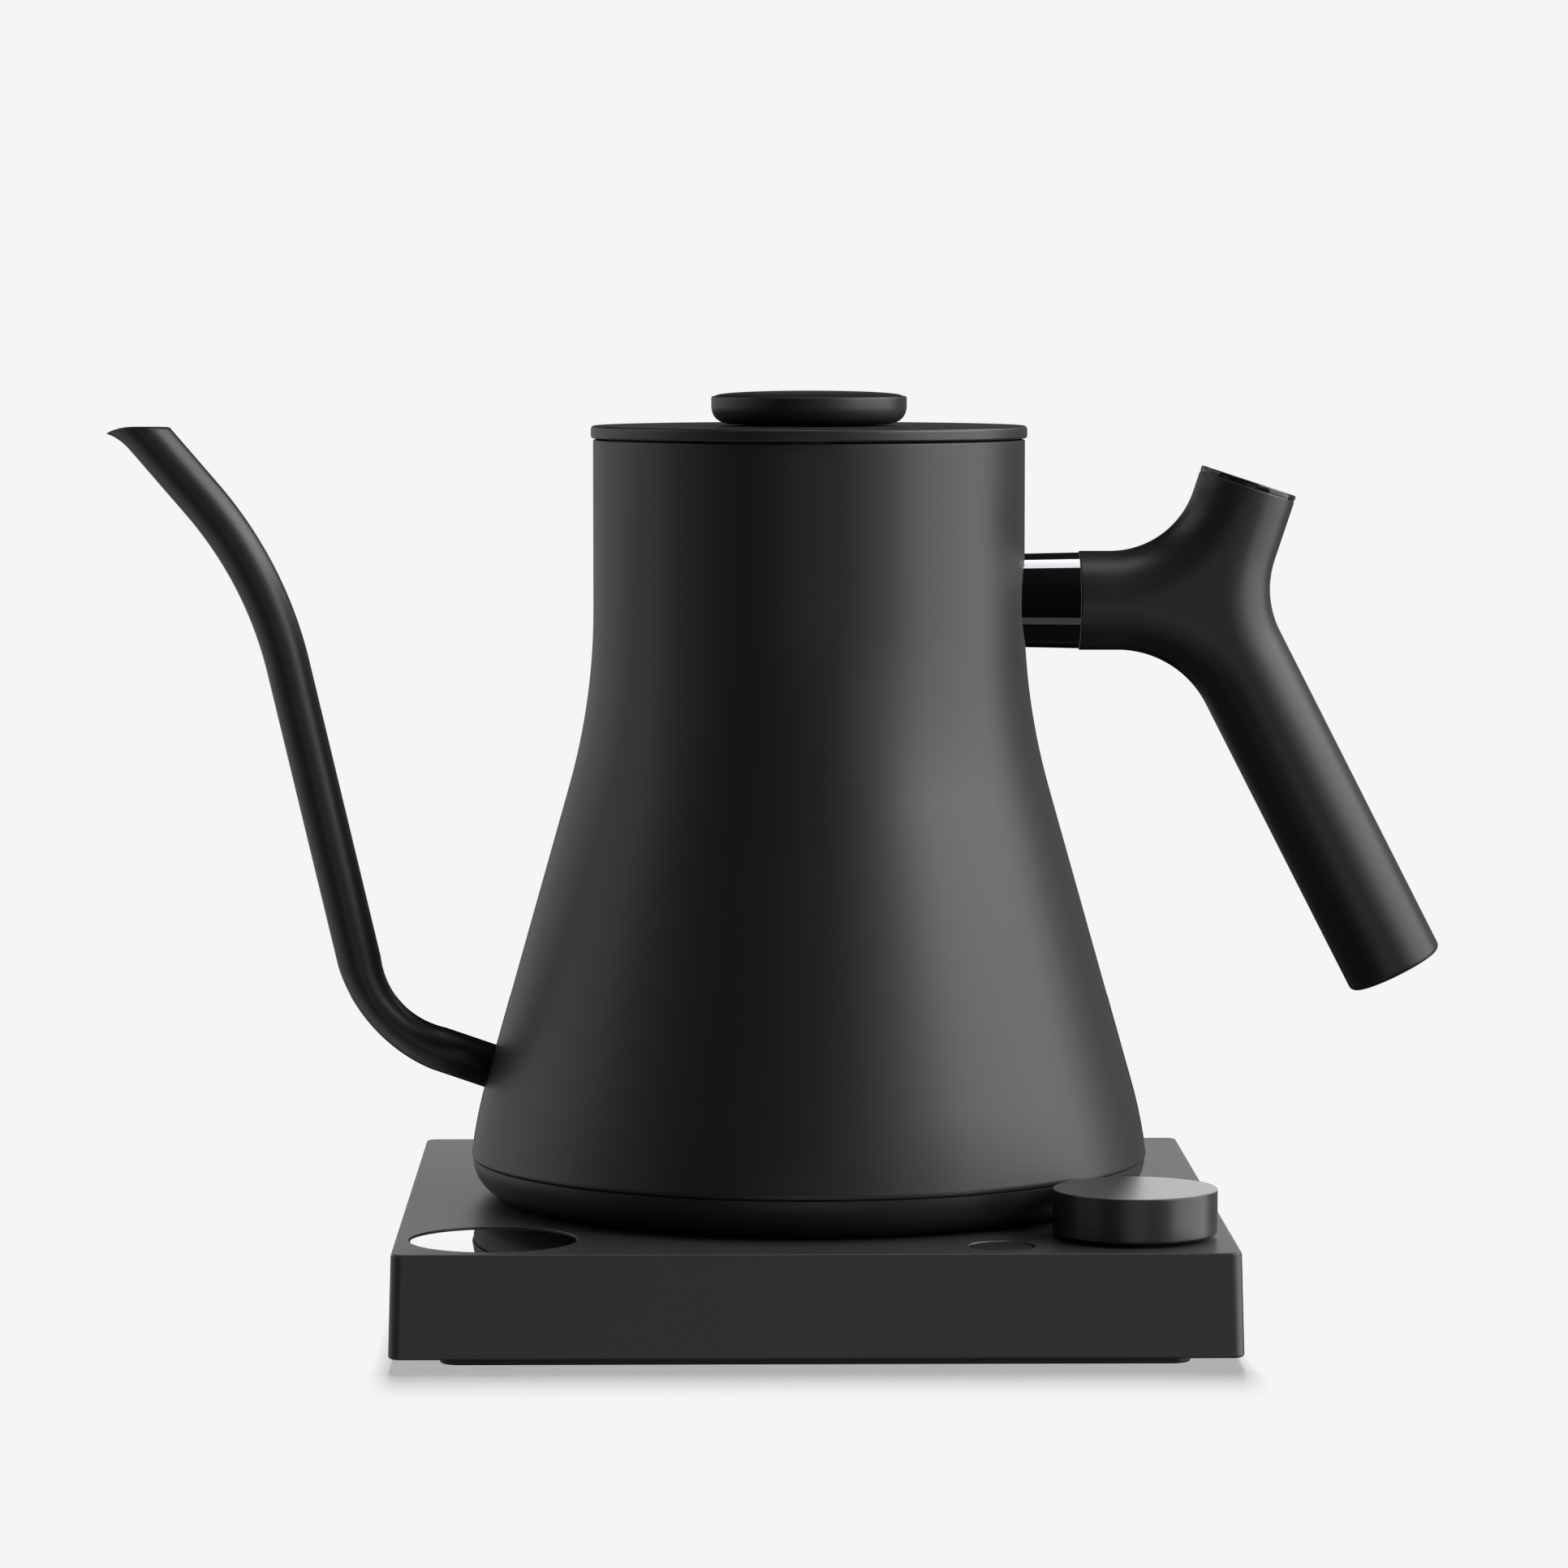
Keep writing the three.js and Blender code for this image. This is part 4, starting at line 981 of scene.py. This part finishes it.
def make_gland():
    """The bush in the back wall that the cord would leave through, with two grooves near its end."""
    low, high = node_box("cord_gland")
    flange_r = node_radius_across("cord_gland")
    bush_r = flange_r - GLAND_FLANGE
    groove_r = bush_r - 0.7
    length = high.y - low.y
    bore = 3.2
    flange = 2.4
    first, second = length - 2.9, length - 1.7
    corners = [
        (bore, 0), (flange_r, 0, 0.3), (flange_r, flange, 0.3), (bush_r, flange),
        (bush_r, first - 0.2, 0.2), (groove_r, first), (groove_r, first + 0.5), (bush_r, first + 0.6, 0.1),
        (bush_r, first + 1.1, 0.1), (groove_r, second), (groove_r, second + 0.5),
        (bush_r, second + 0.6, 0.1), (bush_r, length, 0.35), (bore + 0.5, length), (bore, length - 0.5),
    ]
    bm = turned_mesh(rounded(corners, closed=True, steps=3), sides=SMALL_ROUND)
    bmesh.ops.rotate(bm, verts=bm.verts, cent=(0, 0, 0), matrix=Matrix.Rotation(-math.pi / 2, 3, "X"))
    bmesh.ops.translate(bm, verts=bm.verts, vec=(0, low.y, node_middle("cord_gland").z))
    piece("cord_gland", bm, "base")


make_housing()
make_foot()
make_window()
make_dial()
make_button()
make_gland()


# ---- power coupling

SOCKET_CLEARANCE = 0.8
COUPLER_FLANGE = 4.5
RING_WALL = 1.3
SLIT = 0.3  # room round a contact
GROOVE_ROOM = 0.9  # room each side of the ring contact in the base's groove
CORE_R = 15  # the connector's body below its flange
FLANGE_H = 2.2


def make_socket():
    """The ring under the kettle that drops over the base's connector."""
    low, high, flange_r = upright("kettle_coupler")
    outer_r = flange_r - COUPLER_FLANGE
    flange = low + FLANGE_H
    flange_top = flange + 1.4
    socket_r = BOSS_R + SOCKET_CLEARANCE
    ceiling = high - 2
    recess = ceiling + 1.2
    pin_hole = node_radius("coupler_pin") + SLIT
    ring_out = node_radius("coupler_ring") + SLIT
    ring_in = node_radius("coupler_ring") - RING_WALL - SLIT
    corners = [
        (socket_r, low, 0.5), (outer_r, low, 0.3), (outer_r, flange), (flange_r, flange, 0.2),
        (flange_r, flange_top, 0.2), (outer_r, flange_top), (outer_r, high, 0.6), (pin_hole, high),
        (pin_hole, ceiling), (ring_in, ceiling, 0.2), (ring_in, recess), (ring_out, recess),
        (ring_out, ceiling, 0.2), (socket_r, ceiling, 0.8),
    ]
    profile = rounded(corners, closed=True, steps=4)
    turned("kettle_coupler", profile, "kettle")


def make_contacts():
    """The kettle's centre pin and ring contact, and the sleeve in the base that takes the pin."""
    low, high, pin_r = upright("coupler_pin")
    nose = rounded([(0, low), (pin_r - 0.8, low, 0.4), (pin_r, low + 1.4, 0.5), (pin_r, high)])
    turned("coupler_pin", nose + [Vector((0, high))], "kettle", sides=SMALL_ROUND)
    low, high, ring_r = upright("coupler_ring")
    bore = ring_r - RING_WALL
    profile = [(bore, low, 0.45), (ring_r, low, 0.45), (ring_r, high), (bore, high)]
    turned("coupler_ring", rounded(profile, closed=True), "kettle")
    low, high, sleeve_r = upright("connector_sleeve")
    bore = sleeve_r - 0.5
    profile = [(bore, low), (sleeve_r, low), (sleeve_r, high, 0.2), (bore, high, 0.2)]
    turned("connector_sleeve", rounded(profile, closed=True), "base", sides=SMALL_ROUND)


def make_connector_boss():
    """The base's round connector, with a groove for the ring contact and a hole for the pin."""
    low, high, flange_r = upright("base_connector")
    flange_top = TOP - HOUSING_WALL - 0.3
    flange_foot = flange_top - FLANGE_H
    hole_r = node_radius("connector_sleeve") + SLIT
    groove_out = node_radius("coupler_ring") + GROOVE_ROOM
    groove_in = node_radius("coupler_ring") - RING_WALL - GROOVE_ROOM
    groove_z = TOP + 0.6
    corners = [
        (hole_r, low), (CORE_R, low, 0.4), (CORE_R, flange_foot), (flange_r, flange_foot, 0.2),
        (flange_r, flange_top, 0.2), (BOSS_R, flange_top), (BOSS_R, high, 0.9),
        (groove_out, high, 0.3), (groove_out, groove_z, 0.4),
        (groove_in, groove_z, 0.4), (groove_in, high, 0.3), (hole_r, high, 0.5),
    ]
    profile = rounded(corners, closed=True, steps=4)
    turned("base_connector", profile, "base")


make_socket()
make_contacts()
make_connector_boss()


# ---- screws, vessel floor and probe

SCREW_ROUND = 48
FLOOR_SHEET = 1.0
FLOOR_FILLET = 2.4
FLOOR_STEPS = 6


def make_screw(node, body):
    """A pan-head screw with its head down and a cross recess in it."""
    low, high = node_box(node)
    place = node_middle(node)
    head_r = (high.x - low.x) / 2
    head_top = low.z + 1.6
    face_r = head_r * 0.72
    shank_r = 1.5
    head = rounded(
        [(face_r, low.z), (head_r, low.z, 0.7), (head_r, head_top, 0.1), (shank_r, head_top)], steps=5
    )
    shank = [Vector((shank_r, high.z - 1)), Vector((shank_r - 0.9, high.z)), Vector((0, high.z))]
    bm = turned_mesh(head + shank, place, SCREW_ROUND)
    face = list(bm.verts)[:SCREW_ROUND]
    cross = []
    for share, depth in ((1.0, 0.0), (0.62, 1.1)):
        arm, half = 0.78 * face_r * share, 0.18 * face_r * share
        outline = []
        for k in range(4):
            turn = Matrix.Rotation(math.pi / 2 * k, 2)
            outline += [turn @ Vector(point) for point in ((arm, half), (half, half), (half, arm))]
        cross.append(ring_verts(bm, [(place.x + p.x, place.y + p.y, low.z + depth) for p in outline]))
    fill_between(bm, face, [cross[0]])
    skin(bm, cross, cap_last=True)
    piece(node, bm, body)


def make_vessel_floor():
    """The vessel's steel floor, filleted into the wall, with a hole for the probe."""
    low, high, _ = upright("vessel_floor")
    wall_r = shell_radius(high + 1) - SHELL_WALL - 0.02
    probe = node_middle("temperature_probe")
    hole_r = node_radius("temperature_probe") + SLIT
    under = high - FLOOR_SHEET
    outline = [(wall_r - 1, under), (wall_r - 1, low), (wall_r, low), (wall_r, high)]
    outline += [(wall_r - inset, high + up) for inset, up in round_edge(FLOOR_FILLET, FLOOR_STEPS)]
    bm = bmesh.new()
    made = [ring_verts(bm, circle((0, 0), r, z, LID_ROUND)) for r, z in outline]
    skin(bm, made)
    hole = [ring_verts(bm, circle(probe, hole_r, z, 48)) for z in (high, under)]
    skin(bm, hole)
    fill_between(bm, made[-1], hole[:1])
    fill_between(bm, made[0], hole[1:])
    piece("vessel_floor", bm, "kettle")


def make_probe():
    """The temperature probe that stands up through the floor, and its seal."""
    low, high, probe_r = upright("temperature_probe")
    place = node_middle("temperature_probe")
    profile = rounded([(0, low), (probe_r, low, 0.2), (probe_r, high, 1.9), (0, high)])
    turned("temperature_probe", profile, "kettle", place=place, sides=SMALL_ROUND)
    low, high, seal_r = upright("probe_seal")
    bore = probe_r + 0.1
    profile = [(bore, low), (seal_r, low, 0.2), (seal_r, high, 0.6), (bore, high, 0.3)]
    turned("probe_seal", rounded(profile, closed=True), "kettle", place=place, sides=SMALL_ROUND)


for number in (1, 2, 3):
    make_screw(f"kettle_screw_{number}", "kettle")
for number in (1, 2, 3, 4):
    make_screw(f"base_screw_{number}", "base")
make_vessel_floor()
make_probe()


# ---- finishes on the CAD's own pieces

for node, obj in frame["nodes"].items():
    obj.data.materials.clear()
    obj.data.materials.append(MATERIALS[SLOT_OF_NODE[node]])


# ---- stage, light and camera

BACKGROUND = 0.912  # the pale studio's brightness as the camera sees it


def make_world():
    """A dark room for the object, and a pale backdrop for the camera."""
    world = bpy.data.worlds.new("studio")
    scene.world = world
    world.use_nodes = True
    tree = world.node_tree
    room = tree.nodes["Background"]
    room.inputs["Color"].default_value = (0, 0, 0, 1)
    seen = tree.nodes.new("ShaderNodeBackground")
    seen.inputs["Color"].default_value = (1, 1, 1, 1)
    seen.inputs["Strength"].default_value = BACKGROUND
    path = tree.nodes.new("ShaderNodeLightPath")
    mix = tree.nodes.new("ShaderNodeMixShader")
    link = tree.links.new
    link(path.outputs["Is Camera Ray"], mix.inputs["Fac"])
    link(room.outputs["Background"], mix.inputs[1])
    link(seen.outputs["Background"], mix.inputs[2])
    link(mix.outputs["Shader"], tree.nodes["World Output"].inputs["Surface"])


def make_floor():
    """A pale floor that takes the base's shadow and is otherwise one with the backdrop."""
    bm = bmesh.new()
    bmesh.ops.create_grid(bm, x_segments=1, y_segments=1, size=0.6)
    mesh = bpy.data.meshes.new("floor")
    bm.to_mesh(mesh)
    bm.free()
    floor = bpy.data.objects.new("floor", mesh)
    scene.collection.objects.link(floor)
    material = bpy.data.materials.new("pale_floor")
    material.use_nodes = True
    shader = material.node_tree.nodes["Principled BSDF"]
    shader.inputs["Base Color"].default_value = (0.8, 0.8, 0.8, 1)
    shader.inputs["Roughness"].default_value = 1.0
    mesh.materials.append(material)
    floor.is_shadow_catcher = True
    floor.visible_shadow = False
    floor.visible_diffuse = False
    floor.visible_glossy = False
    return floor


def softbox(name, azimuth, elevation, distance, width, height, radiance, reach, aim=(0, 0, 0.1)):
    """A soft light that faces the kettle. Azimuth 0 is the camera's side, and 90 is +X."""
    a, e = math.radians(azimuth), math.radians(elevation)
    away = Vector((math.sin(a) * math.cos(e), -math.cos(a) * math.cos(e), math.sin(e)))
    data = bpy.data.lights.new(name, "AREA")
    data.shape = "RECTANGLE"
    data.size = width
    data.size_y = height
    data.energy = radiance * math.pi * width * height
    light = bpy.data.objects.new(name, data)
    light.location = Vector(aim) + away * distance
    light.rotation_euler = away.to_track_quat("Z", "Y").to_euler()
    light.visible_camera = False
    light.light_linking.receiver_collection = reach
    scene.collection.objects.link(light)
    return light


def lit(name, *objects, all_but=False):
    """A set of objects that a light reaches, or with all_but the ones it doesn't."""
    chosen = bpy.data.collections.new(name)
    for obj in objects:
        chosen.objects.link(obj)
    if all_but:
        for item in chosen.collection_objects:
            item.light_linking.link_state = "EXCLUDE"
    return chosen


def forms(*nodes):
    """The pieces that stand for these CAD nodes."""
    return [bpy.data.objects[f"{node}_form"] for node in nodes]


make_world()
floor = make_floor()
collar = forms("handle_connector")
base_shell = forms("base_housing", "base_bottom_cover", "foot_pad")
controls = forms("dial_knob", "menu_button")
window = forms("display_window")
all_but_floor = lit("all_but_floor", floor, all_but=True)
all_but_collar = lit("all_but_collar", floor, *collar, all_but=True)
all_but_handle = lit("all_but_handle", *collar, *forms("handle_grip", "handle_cap"), all_but=True)
only_floor = lit("only_floor", floor)
only_collar = lit("only_collar", *collar)
only_window = lit("only_window", *window)
only_base = lit("only_base", *window, *base_shell, *controls)
only_dial = lit("only_dial", *forms("dial_knob"))
only_spout = lit("only_spout", *forms("spout_tube"))
only_lid = lit("only_lid", *forms("lid_disc", "lid_pull"))

BANK_DISTANCE = 1.8
FLOOR_LIGHT = 3.0
FLOOR_EVEN = 0.8  # the even light's share of the one that casts the shadow

# Name, first and last azimuth, boxes, elevation, height in degrees, radiance, and what it lights
# when that isn't all but the floor.
BANKS = [
    ("key", 50, 112, 2, -1, 47, 2.7),
    ("key_high", 45, 105, 2, 35, 25, 6.3),
    ("key_high_rear", 105, 135, 1, 35, 25, 3.5),
    ("key_top", 68, 112, 1, 62, 25, 2.5),
    ("front_right", 22, 50, 1, 10, 25, 1.0),
    ("front_left", -83, -50, 1, 2, 36, 0.3),
    ("left", -128, -83, 2, 2, 40, 0.77),
    ("left_high", -135, -75, 2, 35, 25, 1.05),
    ("rear_left", -165, -128, 1, 0, 40, 0.5),
    ("rear_right", 112, 165, 1, -1, 45, 0.16),
    ("bounce", -150, 30, 3, -45, 45, 0.3, all_but_collar),
    ("back", -188, -171, 1, 10, 25, 1.05, only_base),
    ("back_left", -171, -130, 1, 12, 30, 0.85, only_base),
    ("back_right", 142, 172, 1, 10, 25, 1.3, only_base),
    ("side_right", 100, 142, 1, 12, 30, 0.5, only_base),
    ("back_top", -200, -160, 1, 55, 25, 0.7, only_base),
    ("dial_card", 148, 182, 1, 11, 20, 0.9, only_dial),
    ("spout_fill", -125, -60, 1, -38, 40, 0.5, only_spout),
    ("lid_back", -195, -165, 1, 5, 16, 0.3, only_lid),
    ("window_card", -190, -165, 1, 10, 25, 0.9, only_window),
    ("front_low", -15, 15, 1, -12, 25, 0.62, all_but_collar),
]


def bank(name, first, last, count, elevation, height, radiance, reach=all_but_floor):
    """A row of equal softboxes from one azimuth to another, which the handle doesn't shade."""
    step = (last - first) / count
    across = 2 * BANK_DISTANCE * math.tan(math.radians(step) * math.cos(math.radians(elevation)) / 2)
    tall = 2 * BANK_DISTANCE * math.tan(math.radians(height) / 2)
    for k in range(count):
        azimuth = first + step * (k + 0.5)
        light = softbox(f"{name}_{k + 1}", azimuth, elevation, BANK_DISTANCE, across, tall, radiance, reach)
        light.light_linking.blocker_collection = all_but_handle


for entry in BANKS:
    bank(*entry)
softbox("top", 0, 88, BANK_DISTANCE, 0.9, 0.9, 1.9, all_but_collar)

handle_root = node_middle("handle_connector") * MM
softbox("collar_top", 180, 76, 0.7, 0.5, 0.4, 16, only_collar, handle_root)
softbox("collar_low", 0, -54.5, 0.7, 0.6, 0.36, 0.9, only_collar, handle_root)

# The floor's own light, from behind and above: one box that the base shades, and one that nothing shades.
for name, radiance, shaders in (
    ("floor_light", FLOOR_LIGHT, lit("base_pieces", *base_shell)),
    ("floor_even", FLOOR_LIGHT * FLOOR_EVEN, only_floor),
):
    light = softbox(name, 180, 62, 1.5, 0.36, 1.4, radiance, only_floor, (0, 0, 0))
    light.light_linking.blocker_collection = shaders

CAMERA_PLACE = Vector((-25.3, -1307.3, 215.2)) * MM
CAMERA_YAW = 0.01522
CAMERA_DIP = 0.07731
CAMERA_LENS = 138.57

camera_data = bpy.data.cameras.new("camera")
camera_data.lens = CAMERA_LENS
camera_data.sensor_width = 36
camera_data.clip_start = 0.05
camera_data.clip_end = 50
camera = bpy.data.objects.new("camera", camera_data)
camera.location = CAMERA_PLACE
camera.rotation_euler = (math.pi / 2 - CAMERA_DIP, 0, -CAMERA_YAW)
scene.collection.objects.link(camera)
bpy.context.scene.camera = camera
scene.view_settings.view_transform = "Standard"
scene.view_settings.look = "None"
